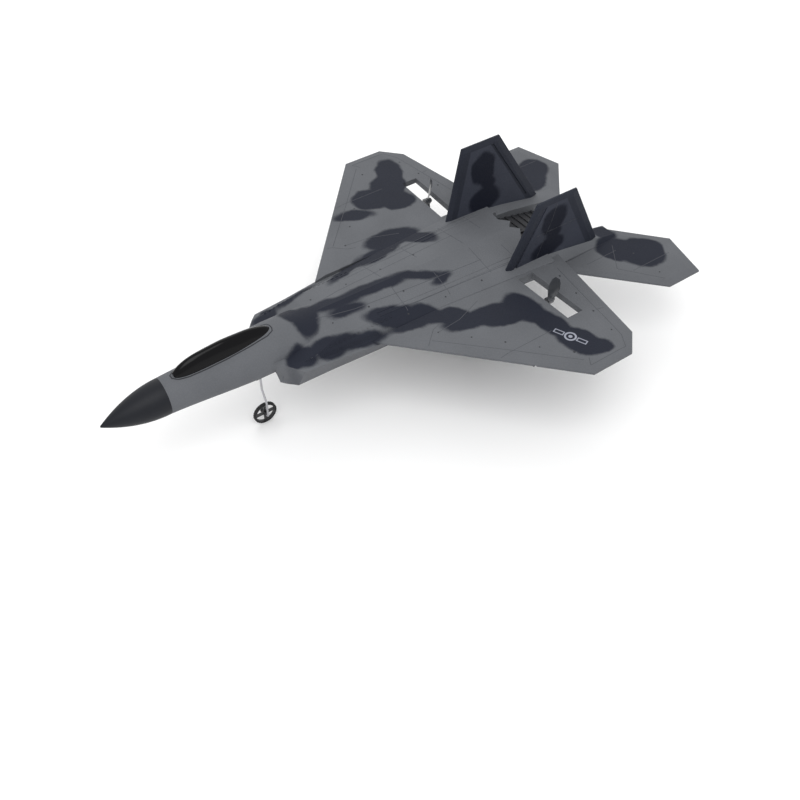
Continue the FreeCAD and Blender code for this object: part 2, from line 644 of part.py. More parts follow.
def make_drive(name, side):
    """Coreless motor in its cradle under the wing, with the shaft pointing aft."""
    centre, axis = f"{side} * motor_half", "-motor_drop"
    outer = "motor_radius + mount_wall"
    shell = wing_rod(f"cradle_shell_{name}", outer, "slot_front - 48.6", centre, "48", axis)
    nose = doc.addObject("Part::Sphere", f"cradle_nose_{name}")
    bind(nose, "Radius", outer)
    place(nose, centre, "48", axis)
    bind(nose, "Placement.Base.z", axis)
    top = wing_box(f"cradle_top_{name}", f"{centre} - ({outer})", "48", axis, f"2 * ({outer})",
                   "slot_front - 48.6", "motor_radius")
    flange = wing_box(f"cradle_flange_{name}", f"{centre} - 8", "53", "-wing_thickness / 2 - 0.7",
                      "16", "18", "0.9")
    hollow = wing_rod(f"cradle_bore_{name}", "motor_radius", "slot_front - 50", centre, "51", axis)
    mouth = wing_box(f"cradle_mouth_{name}", f"{centre} - motor_radius", "51", axis,
                     "2 * motor_radius", "slot_front - 50", "motor_radius + 2")
    crest = wing_box(f"cradle_crest_{name}", f"{centre} - 10", "40", "motor_radius - motor_drop",
                     "20", "40", "10")
    lead_hole = wing_rod(f"cradle_lead_hole_{name}", "lead_radius + 3 * seat_gap", "12", centre, "42", "-lead_drop")
    mount = cut(f"cradle_{name}", fuse(f"cradle_solid_{name}", [shell, nose, top, flange]),
                fuse(f"cradle_tools_{name}", [hollow, mouth, crest, lead_hole]))
    tilt(mount, side, "dihedral")
    finish(mount, f"motor_mount_{name}")

    can = wing_rod(f"can_{name}", "motor_radius - 0.02", "motor_length - 1.6", centre,
                   "slot_front - 2.4 - motor_length", axis)
    boss = wing_rod(f"can_boss_{name}", "1.3", "1", centre, "slot_front - 4", axis)
    bore = wing_rod(f"can_bore_{name}", "shaft_radius + 0.06", "9", centre, "slot_front - 11", axis)
    motor = cut(f"motor_{name}", fuse(f"can_solid_{name}", [can, boss]), bore)
    tilt(motor, side, "dihedral")
    finish(motor, f"motor_{name}")

    cap = group(f"cap_{name}", [wing_rod(f"cap_disc_{name}", "motor_radius - 0.1", "1.4", centre,
                                         "slot_front - 3.8 - motor_length", axis)])
    tilt(cap, side, "dihedral")
    finish(cap, f"motor_end_cap_{name}")

    shaft = group(f"shaft_{name}", [wing_rod(f"shaft_rod_{name}", "shaft_radius",
                                             "propeller_station + hub_length / 2 - 67", centre, "67", axis)])
    tilt(shaft, side, "dihedral")
    finish(shaft, f"motor_shaft_{name}")


def make_propeller(name, side):
    """Two twisted blades on a hub, lofted through sections that turn from root to tip."""
    body = new_body(f"propeller_{name}")
    half = "hub_length / 2"
    profile = [(f"-{half}", "shaft_radius"), (f"-{half}", "hub_radius"), (f"{half} - 2", "hub_radius"),
               (half, "hub_radius - 1"), (half, "shaft_radius")]
    revolve(body, f"hub_revolve_{name}", draw(body, f"hub_profile_{name}", "YZ_Plane", "0", profile), "Y_Axis")
    stations = ((0.06, 0.5, 1.5), (0.3, 0.86, 1.2), (0.6, 1, 0.95), (0.86, 0.82, 0.75), (1, 0.4, 0.55))
    sketches = []
    for i, (share, chord_share, thick) in enumerate(stations):
        pitch = f"(blade_root_pitch + (blade_tip_pitch - blade_root_pitch) * {share})"
        across, back = f"cos({pitch})", f"sin({pitch})"
        chord = f"blade_chord * {chord_share}"
        corners = []
        for along, off in ((-0.5, 0), (-0.2, 0.5), (0.2, 0.4), (0.5, 0), (0.15, -0.3), (-0.25, -0.25)):
            corners.append((f"{side} * ({along} * {chord} * {across} - {off * thick} * {back})",
                            f"{along} * {chord} * {back} + {off * thick} * {across}"))
        sketches.append(draw(body, f"blade_section_{name}_{i}", "XY_Plane",
                             f"propeller_radius * {share}", corners))
    blade = loft(body, f"blade_{name}", sketches)
    pattern = body.newObject("PartDesign::PolarPattern", f"blades_{name}")
    pattern.Originals = [blade]
    axis = [item for item in body.Origin.OriginFeatures if item.Role == "Y_Axis"][0]
    pattern.Axis = (axis, [""])
    pattern.Occurrences = 2
    pattern.Angle = 360
    body.Tip = pattern
    body.Placement = Placement(Vector(), Rotation(Vector(0, 1, 0), 12))
    place(body, f"{side} * (motor_half * cos(dihedral) + motor_drop * sin(dihedral))",
          "propeller_station", "motor_half * sin(dihedral) - motor_drop * cos(dihedral)")
    return finish(body, f"propeller_{name}")


def make_spar(name, side):
    spar = group(f"spar_{name}", [wing_rod(f"spar_rod_{name}", "0.9", "72",
                                           "42" if side > 0 else "-114", "32", "-1.3", "X")])
    tilt(spar, side, "dihedral")
    return finish(spar, f"wing_spar_{name}")


# ---------------------------------------------------------------- belly tray

BELLY = "-belly_depth"
FLANGE_FACE = "-belly_depth - flange_thickness"
MOUTH_FRONT = "-tray_front + tray_wall"
HINGE_Y = f"{MOUTH_FRONT} + hinge_setback"
HINGE_Z = f"{FLANGE_FACE} + knuckle_radius"
HEAD_SEAT = f"{FLANGE_FACE} + head_height + head_recess"
SCREW_X = "tray_half + flange_width / 2"
SCREW_SPOTS = [(f"{side} * ({SCREW_X})", y) for side in (-1, 1) for y in ("-36", "20")]


def screw(name, x, y, z, shank):
    """Pan-head screw driven upwards; z is the face its head seats on."""
    head = rod(f"{name}_head", "screw_head", "head_height", x, y, f"{z} - head_height")
    return fuse(name, [head, rod(f"{name}_shank", "screw_shank", shank, x, y, f"{z} - 0.1")])


def floor_hole(name, x, y, length, width):
    """Opening through the flange and the tray's floor."""
    return box(name, x, y, f"{FLANGE_FACE} - 1", length, width, "flange_thickness + 6")


def tray_openings():
    """Everything cut out of the tray: its inside, the battery mouth and the small openings."""
    tools = [box("tray_cavity", "-tray_half + tray_wall", MOUTH_FRONT, f"{BELLY} + tray_wall",
                 "2 * (tray_half - tray_wall)", "tray_front + tray_rear - 2 * tray_wall",
                 "tray_depth - 2 * tray_wall"),
             box("tray_mouth", "-tray_half + tray_wall", MOUTH_FRONT, f"{FLANGE_FACE} - 1",
                 "2 * (tray_half - tray_wall)", "bay_length", "flange_thickness + tray_wall + 2"),
             floor_hole("switch_slot", "switch_x - knob_gap", "switch_y - knob_gap",
                        "knob_length + switch_travel + 2 * knob_gap", "knob_width + 2 * knob_gap"),
             rod("lamp_hole", "lamp_radius", "8", "lamp_x", "lamp_y", f"{FLANGE_FACE} - 1"),
             floor_hole("socket_hole", "0", "socket_y", "socket_length", "socket_width")]
    for i, (x, y) in enumerate(SCREW_SPOTS):
        tools.append(rod(f"flange_hole_{i}", "screw_shank", "6", x, y, f"{FLANGE_FACE} - 1"))
        tools.append(rod(f"flange_sink_{i}", "screw_head + head_clearance",
                         "head_height + head_recess + 1", x, y, f"{FLANGE_FACE} - 1"))
    for name, side in SIDES:
        tools.append(box(f"lead_exit_{name}", "10" if side > 0 else "-20", "6.6", "-6.6",
                         "10", "2.4", "2.2"))
    return tools


def make_tray():
    """Open-bottomed plastic tray: screw flange, hinge ears and a floor under the switch."""
    shell = box("tray_shell", "-tray_half", "-tray_front", BELLY, "2 * tray_half",
                "tray_front + tray_rear", "tray_depth")
    flange = box("tray_flange", "-tray_half - flange_width", "-tray_front - flange_width",
                 FLANGE_FACE, "2 * (tray_half + flange_width)",
                 "tray_front + tray_rear + 2 * flange_width", "flange_thickness")
    hollow = cut("tray_hollow", fuse("tray_solid", [shell, flange]), fuse("tray_tools", tray_openings()))
    ear_inner, ear_outer = "(knuckle_outer + side_gap)", "(tray_half - tray_wall + 0.3)"
    ears = [rod(f"tray_ear_{name}", "knuckle_radius", f"{ear_outer} - {ear_inner}",
                ear_inner if side > 0 else f"-{ear_outer}", HINGE_Y, HINGE_Z, "X")
            for name, side in SIDES]
    pin_hole = rod("tray_pin_hole", "hinge_radius", "2 * pin_half", "-pin_half", HINGE_Y, HINGE_Z, "X")
    tray = cut("tray", fuse("tray_with_ears", [hollow] + ears), pin_hole)
    return finish(tray, "equipment_tray"), shell


def make_door():
    """Battery door, flush with the flange: two hinge knuckles, grip grooves and a thumb notch."""
    panel_front = f"{HINGE_Y} + knuckle_radius + door_gap"
    panel_rear = f"{MOUTH_FRONT} + bay_length - door_gap"
    half = "(tray_half - tray_wall - door_gap)"
    panel = box("door_panel", f"-{half}", panel_front, FLANGE_FACE, f"2 * {half}",
                f"({panel_rear}) - ({panel_front})", "door_thickness")
    solids = [panel]
    for name, x in (("right", "-knuckle_outer"), ("left", "knuckle_outer - knuckle_length")):
        solids.append(rod(f"door_knuckle_{name}", "knuckle_radius", "knuckle_length", x, HINGE_Y,
                          HINGE_Z, "X"))
        solids.append(box(f"door_arm_{name}", x, HINGE_Y, FLANGE_FACE, "knuckle_length",
                          "knuckle_radius + door_gap + 0.2", "door_thickness"))
    tools = [rod("door_bore", "hinge_radius + hinge_clearance", "2 * pin_half + 1",
                 "-pin_half - 0.5", HINGE_Y, HINGE_Z, "X"),
             rod("thumb_notch", "thumb_radius", "6", "0", f"{panel_rear} + 1.6", f"{FLANGE_FACE} - 1")]
    for i in range(5):
        tools.append(box(f"door_grip_{i}", "-9", f"({panel_rear}) - 8 - {i} * 2.4",
                         f"{FLANGE_FACE} - 1", "18", "1", "1 + grip_depth"))
    finish(cut("door", fuse("door_solid", solids), fuse("door_tools", tools)), "battery_door")
    finish(rod("hinge_pin", "hinge_radius", "2 * pin_half", "-pin_half", HINGE_Y, HINGE_Z, "X"),
           "door_hinge_pin")


def make_electronics():
    board_z = f"{BELLY} + tray_depth - tray_wall - board_thickness - 2"
    finish(box("board", "-board_half", "18 - board_length", board_z, "2 * board_half",
               "board_length", "board_thickness"), "receiver_board")
    top = f"{board_z} + board_thickness"
    chips = [box("chip_large", "-4", "-14", top, "7", "7", "1.1"),
             box("chip_small", "5", "-4", top, "4", "5", "0.9"),
             box("chip_crystal", "-9", "-6", top, "2.5", "6", "1.3"),
             rod("chip_capacitor", "1.4", "1.6", "-7", "-20", top)]
    finish(group("chips", chips), "receiver_chips")
    finish(box("cell", "-battery_half", "-battery_length - 4.4", f"{board_z} - battery_thickness - 0.1",
               "2 * battery_half", "battery_length", "battery_thickness"), "battery")
    plug = box("plug", "3.4", "2", f"{board_z} - 3.4", "5.2", "6", "3.4")
    finish(plug, "battery_plug")
    lead = tube("battery_lead", [("6", "-4.4", f"{board_z} - 1.7"), ("6", "2", f"{board_z} - 1.7")],
                "lead_radius")
    finish(lead, "battery_lead")
    case = box("switch_case", "-12", "9.4", f"{BELLY} + tray_wall", "10", "5.2", "4")
    throat = box("switch_throat", "switch_x - knob_gap", "switch_y - knob_gap", BELLY,
                 "knob_length + switch_travel + 2 * knob_gap", "knob_width + 2 * knob_gap",
                 "tray_wall + 2.6")
    finish(cut("switch", case, throat), "switch_body")
    knob = box("knob", "switch_x", "switch_y", f"{FLANGE_FACE} + knob_recess", "knob_length",
               "knob_width", "flange_thickness - knob_recess + tray_wall + 2")
    finish(knob, "switch_knob")
    finish(rod("lamp", "lamp_radius", "4", "lamp_x", "lamp_y", f"{FLANGE_FACE} + 0.2"), "status_led")
    outer = box("socket_case", "-1", "9", f"{BELLY} + tray_wall", "6", "5", "4")
    inner = box("socket_well", "0", "socket_y", BELLY, "socket_length", "socket_width", "tray_wall + 3")
    finish(cut("socket", outer, inner), "charge_socket")
    screws = [screw(f"tray_screw_{i}", x, y, HEAD_SEAT, "6")
              for i, (x, y) in enumerate(SCREW_SPOTS)]
    finish(group("tray_screw_set", screws), "tray_screws")
    return screws


def make_leads():
    tunnels = []
    for name, side in SIDES:
        end_x = "motor_half * cos(dihedral) + lead_drop * sin(dihedral)"
        end_z = "motor_half * sin(dihedral) - lead_drop * cos(dihedral)"
        points = [("12.5", "7.8", "-5.5"), ("46", "9", "-5"), ("57", "20", "-1.7"),
                  ("66.5", "31", "-1"), (end_x, "39.5", end_z), (end_x, "51", end_z)]
        points = [(f"{side} * ({x})", y, z) for x, y, z in points]
        finish(tube(f"lead_{name}", points, "lead_radius"), f"motor_lead_{name}")
        tunnels.append(box(f"lead_tunnel_{name}", "10" if side > 0 else "-50", "6.4", "-6.9", "40", "5", "3.2"))
    return tunnels


# ---------------------------------------------------------------- undercarriage

def bent_wire(label, points, radius, bend):
    """Spring-steel wire: straight runs with one inside bend radius throughout."""
    spots = [Vector(*[number(rule) for rule in point]) for point in points]
    size = number(bend)
    edges = []
    start = spots[0]
    for before, corner, after in zip(spots, spots[1:], spots[2:]):
        into, out = (corner - before).normalize(), (after - corner).normalize()
        reach = size * math.tan(into.getAngle(out) / 2)
        centre = corner + (out - into).normalize() * math.hypot(reach, size)
        middle = centre + (corner - centre).normalize() * size
        edges.append(Part.LineSegment(start, corner - into * reach).toShape())
        edges.append(Part.Arc(corner - into * reach, middle, corner + out * reach).toShape())
        start = corner + out * reach
    edges.append(Part.LineSegment(start, spots[-1]).toShape())
    path = Part.Wire(edges)
    profile = Part.Wire(Part.makeCircle(number(radius), spots[0], spots[1] - spots[0]))
    wire = doc.addObject("Part::Feature", label)
    wire.Shape = path.makePipeShell([profile], True, True)
    wire.Placement = Placement(Vector(0, 0, number("wing_height")), Rotation())
    return wire


def make_wheel(name, tyre_label, hub_label, x, y):
    """Slim tyre on a four-spoke hub that turns freely on the axle."""
    tyre = new_body(f"{name}_tyre")
    half = "tyre_width / 2"
    profile = [(f"-{half} + 0.3", "rim_radius"), (f"{half} - 0.3", "rim_radius"),
               (half, "rim_radius + 0.3"), (half, "wheel_radius - tyre_shoulder"),
               (f"{half} - tyre_shoulder", "wheel_radius"), (f"-{half} + tyre_shoulder", "wheel_radius"),
               (f"-{half}", "wheel_radius - tyre_shoulder"), (f"-{half}", "rim_radius + 0.3")]
    sketch = draw(tyre, f"{name}_tyre_profile", "XZ_Plane", "0", profile)
    revolve(tyre, f"{name}_tyre_ring", sketch, "X_Axis")
    place(tyre, x, y, AXLE)
    finish(tyre, tyre_label)

    hub = new_body(f"{name}_hub")
    rim = [("-1", "rim_radius - rim_wall"), ("1", "rim_radius - rim_wall"), ("1", "rim_radius"),
           ("-1", "rim_radius")]
    revolve(hub, f"{name}_rim", draw(hub, f"{name}_rim_profile", "XZ_Plane", "0", rim), "X_Axis")
    bore = "axle_radius + axle_clearance"
    boss = [("-hub_half", bore), ("hub_half", bore), ("hub_half", f"{bore} + 0.9"), ("-hub_half", f"{bore} + 0.9")]
    revolve(hub, f"{name}_boss", draw(hub, f"{name}_boss_profile", "XZ_Plane", "0", boss), "X_Axis")
    spoke = [("-0.7", f"{bore} + 0.5"), ("0.7", f"{bore} + 0.5"), ("0.7", "rim_radius - rim_wall / 2"),
             ("-0.7", "rim_radius - rim_wall / 2")]
    arm = pad(hub, f"{name}_spoke", draw(hub, f"{name}_spoke_outline", "XZ_Plane", "0", spoke),
              "spoke_width", middle=True)
    pattern = hub.newObject("PartDesign::PolarPattern", f"{name}_spokes")
    pattern.Originals = [arm]
    axis = [item for item in hub.Origin.OriginFeatures if item.Role == "X_Axis"][0]
    pattern.Axis = (axis, [""])
    pattern.Angle = 360
    pattern.Occurrences = 4
    hub.Tip = pattern
    place(hub, x, y, AXLE)
    finish(hub, hub_label)


def collar(name, x, y):
    disc = rod(f"{name}_disc", "collar_radius", "1.1", x, y, AXLE, "X")
    return cut(name, disc, rod(f"{name}_bore", "axle_radius", "3", f"{x} - 1", y, AXLE, "X"))


def make_gear():
    nose_y, main_y = "-nose_wheel_station", "main_wheel_station"
    nose_wire = bent_wire("nose_wire", [("0", nose_y, "-12"), ("0", nose_y, "-34"),
                                        ("leg_offset", nose_y, "-43"), ("leg_offset", nose_y, AXLE),
                                        ("-hub_half - side_gap - 1.3", nose_y, AXLE)],
                          "axle_radius", "1.5")
    finish(nose_wire, "nose_gear_leg")
    block = rod("nose_block", "3.4", "7", "0", nose_y, "-19.4")
    foot = box("nose_foot", "-5", f"{nose_y} - 5", "-18.6", "10", "10", "3")
    finish(cut("nose_mount", fuse("nose_mount_solid", [block, foot]), nose_wire), "nose_gear_mount")

    right = [("main_wheel_half + hub_half + side_gap + 1.3", AXLE),
             ("main_wheel_half - leg_offset", AXLE), ("13.5", "-16.6")]
    route = [(x, main_y, z) for x, z in right] + [(f"-({x})", main_y, z) for x, z in reversed(right)]
    main_wire = bent_wire("main_wire", route, "axle_radius", "1.5")
    finish(main_wire, "main_gear_leg")
    clamp = box("main_clamp", "-12", f"{main_y} - 5", "-18.2", "24", "10", "3.6")
    screws = [screw(f"gear_screw_{i}", x, f"{main_y} + 3", "-18.2", "7") for i, x in enumerate(("-8", "8"))]
    holes = [rod(f"clamp_hole_{i}", "screw_shank", "6", x, f"{main_y} + 3", "-19")
             for i, x in enumerate(("-8", "8"))]
    finish(cut("main_mount", clamp, fuse("main_mount_tools", [main_wire] + holes)), "main_gear_mount")
    finish(group("gear_screw_set", screws), "gear_screws")

    make_wheel("nose_wheel", "nose_tyre", "nose_hub", "0", nose_y)
    collars = [collar("nose_collar", "-hub_half - side_gap - 1.1", nose_y)]
    for name, side in SIDES:
        make_wheel(f"main_wheel_{name}", f"main_tyre_{name}", f"main_hub_{name}", f"{side} * main_wheel_half", main_y)
        out = "main_wheel_half + hub_half + side_gap"
        collars.append(collar(f"main_collar_{name}", out if side > 0 else f"-({out}) - 1.1", main_y))
    finish(group("collar_set", collars), "wheel_collars")
    return [nodes["nose_gear_mount"], nodes["main_gear_mount"], nose_wire, main_wire], screws


# ---------------------------------------------------------------- assembly and export

def write_all():
    doc.recompute()
    for item in doc.Objects:
        if "Invalid" in item.State or "Error" in item.State:
            raise RuntimeError(f"{item.Name} failed: {item.State}")
    os.makedirs("parts", exist_ok=True)
    for label, item in nodes.items():
        shape = item.Shape
        if shape.isNull() or not shape.isValid():
            raise RuntimeError(f"{label} has no valid shape")
        shape.exportStep(f"parts/{label}.step")
    print(f"{len(nodes)} nodes written")


upper_form, lower_form = make_fuselage()
make_nose_cone()
make_canopy()
for side_name, side_sign in SIDES:
    make_wing(side_name, side_sign)
    make_fin(side_name, side_sign)
    make_stabiliser(side_name, side_sign)
    make_spar(side_name, side_sign)
    make_drive(side_name, side_sign)
    make_propeller(side_name, side_sign)
make_exhaust_plate()
tray_node, tray_envelope = make_tray()
make_door()
tray_screws = make_electronics()
tunnels = make_leads()
gear_pieces, gear_screws = make_gear()

plates = [nodes[f"{kind}_{name}"] for kind in ("wing", "fin", "stabiliser") for name, _ in SIDES]
upper_tools = fuse("upper_tools", plates + [nodes["canopy"], nodes["nose_cone"], nodes["exhaust_plate"],
                                            sawtooth_tool()])
lower_tools = fuse("lower_tools", plates + [nodes["nose_cone"], nodes["exhaust_plate"], tray_envelope]
                   + tunnels + gear_pieces + tray_screws + gear_screws)
finish(cut("upper_foam", upper_form, upper_tools), "fuselage_upper")
finish(cut("lower_foam", lower_form, lower_tools), "fuselage_lower")
write_all()
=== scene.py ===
# Foam twin-motor jet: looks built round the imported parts
import bpy, bmesh, math
from mathutils import Vector, Matrix


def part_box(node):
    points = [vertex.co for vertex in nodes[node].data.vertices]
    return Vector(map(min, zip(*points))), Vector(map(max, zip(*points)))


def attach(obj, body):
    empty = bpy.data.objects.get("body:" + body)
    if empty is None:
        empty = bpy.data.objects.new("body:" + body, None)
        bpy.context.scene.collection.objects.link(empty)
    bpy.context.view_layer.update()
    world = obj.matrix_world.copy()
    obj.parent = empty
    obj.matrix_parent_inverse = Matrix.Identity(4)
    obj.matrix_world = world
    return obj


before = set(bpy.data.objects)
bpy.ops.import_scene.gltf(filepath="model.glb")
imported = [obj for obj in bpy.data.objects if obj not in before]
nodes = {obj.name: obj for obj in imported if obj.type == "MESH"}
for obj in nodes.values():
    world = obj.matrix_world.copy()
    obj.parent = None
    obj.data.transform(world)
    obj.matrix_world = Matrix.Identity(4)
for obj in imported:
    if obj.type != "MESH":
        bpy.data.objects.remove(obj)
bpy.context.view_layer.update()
mm = 0.001
wingPlane = 64.5 * mm      # height of the wing's middle plane over the ground
print("frame loaded:", len(nodes), "nodes")


# ------- node helpers

def newMaterial(name):
    mat = bpy.data.materials.new(name)
    mat.use_nodes = True
    tree = mat.node_tree
    tree.nodes.clear()
    out = tree.nodes.new("ShaderNodeOutputMaterial")
    shader = tree.nodes.new("ShaderNodeBsdfPrincipled")
    tree.links.new(shader.outputs[0], out.inputs["Surface"])
    return mat, tree, shader


def addNode(tree, kind, inputs=None, **settings):
    node = tree.nodes.new(kind)
    for key, value in settings.items():
        setattr(node, key, value)
    for key, value in (inputs or {}).items():
        if isinstance(value, bpy.types.NodeSocket):
            tree.links.new(value, node.inputs[key])
        else:
            node.inputs[key].default_value = value
    return node


def calc(tree, operation, a, b=0.0, c=0.0):
    node = addNode(tree, "ShaderNodeMath", {0: a, 1: b, 2: c}, operation=operation)
    return node.outputs[0]


def ramp(tree, value, low, high, fromValue=0.0, toValue=1.0, smooth=False):
    node = addNode(tree, "ShaderNodeMapRange",
                   {"Value": value, "From Min": low, "From Max": high, "To Min": fromValue, "To Max": toValue})
    node.interpolation_type = "SMOOTHSTEP" if smooth else "LINEAR"
    return node.outputs["Result"]


def mixColour(tree, factor, a, b, blend="MIX"):
    node = tree.nodes.new("ShaderNodeMix")
    node.data_type = "RGBA"
    node.blend_type = blend
    for socket, value in ((node.inputs[0], factor), (node.inputs[6], a), (node.inputs[7], b)):
        if isinstance(value, bpy.types.NodeSocket):
            tree.links.new(value, socket)
        else:
            socket.default_value = value
    return node.outputs[2]


def srgb(r, g, b):
    # 0-255 paint values to the shader's linear colours
    def lin(v):
        v = v / 255
        return v / 12.92 if v <= 0.04045 else ((v + 0.055) / 1.055) ** 2.4
    return (lin(r), lin(g), lin(b), 1.0)


def paint(node, mat):
    obj = nodes[node]
    obj.data.materials.clear()
    obj.data.materials.append(mat)


# ------- sprayed camouflage on the foam

camo = {
    "base": srgb(93, 95, 99),           # light grey
    "patch": srgb(32, 35, 45),          # blue-grey patches
    "softEdge": 1.5,                    # mm
    "wobble": 3.4,                      # mm the patch edges wander
    "finBase": srgb(55, 58, 68),
    "finPatch": srgb(22, 25, 36),
    "finBorder": srgb(42, 45, 54),
    "mark": srgb(142, 145, 156),
}

# each patch: middle x, y, half length, half width (mm) and turn (degrees from +X)
topPatches = [
    # left wing: from the root to the tip, filling the space ahead of the slot
    (59, 24, 20, 8, 78), (66, 44, 20, 12, 66), (70, 61, 18, 11, 0), (92, 65, 18, 9, 6), (116, 68, 17, 11, 14),
    (127, 73, 7, 11, -10),
    # fuselage patch that runs from the left shoulder into that wing
    (28, -16, 20, 8, 66), (39, 6, 14, 8, 40), (49, 18, 12, 9, 50),
    # spine
    (-4, -74, 13, 7, 12), (4, -68, 13, 9, 150), (-1, -46, 24, 6, 82), (1, -12, 28, 5.6, 84), (7, 20, 17, 4.4, 62),
    (17, 31, 9, 4, 100), (9, -40, 13, 5, 82),
    # right shoulder
    (-30, -16, 20, 5.4, 112), (-33, 12, 22, 7.5, 100), (-44, 32, 22, 10, 82), (-32, 47, 15, 8, 40),
    # right wing
    (-114, 78, 17, 11, 152), (-98, 66, 18, 14, 140), (-92, 46, 16, 13, 80), (-80, 62, 14, 12, 60),
    (-82, 24, 16, 6.5, 66),
    # intake: shoulder stripe and the block behind its lip
    (24, -84, 10, 8, 70), (27, -66, 14, 6, 70), (32, -44, 20, 5, 74), (40, -10, 16, 5, 78),
    (-24, -84, 10, 7, 110), (-29, -58, 18, 5, 104),
    # stabilisers
    (50, 168, 17, 13, 50), (62, 180, 18, 17, 60), (32, 172, 9, 8, 60), (-54, 174, 16, 12, 120),
    (-66, 186, 15, 12, 145),
]

finPatches = [
    # along y and up z, on both fins: two round blots with a neck between them
    (109, 39, 13, 11, 70), (112, 26, 7, 6, 0), (109, 13, 15, 10, 8),
]


def patchField(name, patches, flat="XY"):
    # group: signed distance-like value, below 0 inside any patch, in millimetres
    group = bpy.data.node_groups.new(name, "ShaderNodeTree")
    group.interface.new_socket("Position", in_out="INPUT", socket_type="NodeSocketVector")
    group.interface.new_socket("Distance", in_out="OUTPUT", socket_type="NodeSocketFloat")
    start = group.nodes.new("NodeGroupInput")
    end = group.nodes.new("NodeGroupOutput")
    result = None
    for middleX, middleY, halfLength, halfWidth, turn in patches:
        place = addNode(group, "ShaderNodeMapping",
                        {"Vector": start.outputs["Position"], "Location": (middleX, middleY, 0),
                         "Rotation": (0, 0, math.radians(turn)), "Scale": (halfLength, halfWidth, 1000)},
                        vector_type="TEXTURE")
        reach = addNode(group, "ShaderNodeVectorMath", {0: place.outputs[0]}, operation="LENGTH")
        away = calc(group, "MULTIPLY_ADD", reach.outputs["Value"], halfWidth, -halfWidth)
        result = away if result is None else calc(group, "SMOOTH_MIN", result, away, 2.6)
    group.links.new(result, end.inputs["Distance"])
    return group


def foamSurface(tree, position):
    # fused foam beads: small cells, shallow joints, plus a fine skin
    beads = addNode(tree, "ShaderNodeTexVoronoi", {"Vector": position, "Scale": 0.62, "Randomness": 1.0},
                    feature="DISTANCE_TO_EDGE")
    joints = ramp(tree, beads.outputs["Distance"], 0.0, 0.16)
    skin = addNode(tree, "ShaderNodeTexNoise",
                   {"Vector": position, "Scale": 2.4, "Detail": 3.0, "Roughness": 0.6})
    return joints, skin.outputs["Fac"]


def wingMark(tree, position):
    # plain ring between two outlined bars, sprayed on the left wing
    local = addNode(tree, "ShaderNodeMapping", {"Vector": position, "Location": (109.5, 66, 0),
                                                "Rotation": (0, 0, math.radians(21)), "Scale": (1, 1, 1000)},
                    vector_type="TEXTURE")
    reach = addNode(tree, "ShaderNodeVectorMath", {0: local.outputs[0]}, operation="LENGTH").outputs["Value"]
    split = addNode(tree, "ShaderNodeSeparateXYZ", {0: local.outputs[0]})
    along = calc(tree, "ABSOLUTE", split.outputs["X"])
    across = calc(tree, "ABSOLUTE", split.outputs["Y"])
    ring = ramp(tree, calc(tree, "ABSOLUTE", calc(tree, "SUBTRACT", reach, 3.5)), 0.75, 0.5)
    core = ramp(tree, reach, 1.5, 1.2)
    barReach = calc(tree, "MAXIMUM", calc(tree, "SUBTRACT", calc(tree, "ABSOLUTE",
                    calc(tree, "SUBTRACT", along, 8.2)), 3.2), calc(tree, "SUBTRACT", across, 1.5))
    bar = ramp(tree, calc(tree, "ABSOLUTE", barReach), 0.45, 0.25)
    return calc(tree, "MAXIMUM", calc(tree, "MAXIMUM", ring, core), bar)


def finBorder(tree, y, height):
    # darker bands behind the leading edge, ahead of the trailing edge and along the top
    front = calc(tree, "SUBTRACT", y, calc(tree, "MULTIPLY_ADD", height, 0.333, 80.2))
    rear = calc(tree, "SUBTRACT", calc(tree, "MULTIPLY_ADD", height, -0.562, 148.4), y)
    top = calc(tree, "SUBTRACT", 55.5, height)
    nearest = calc(tree, "MINIMUM", calc(tree, "MINIMUM", front, rear), top)
    return ramp(tree, nearest, 0.5, -0.5, smooth=True)


topField = patchField("topPatchField", topPatches)
finField = patchField("finPatchField", finPatches)


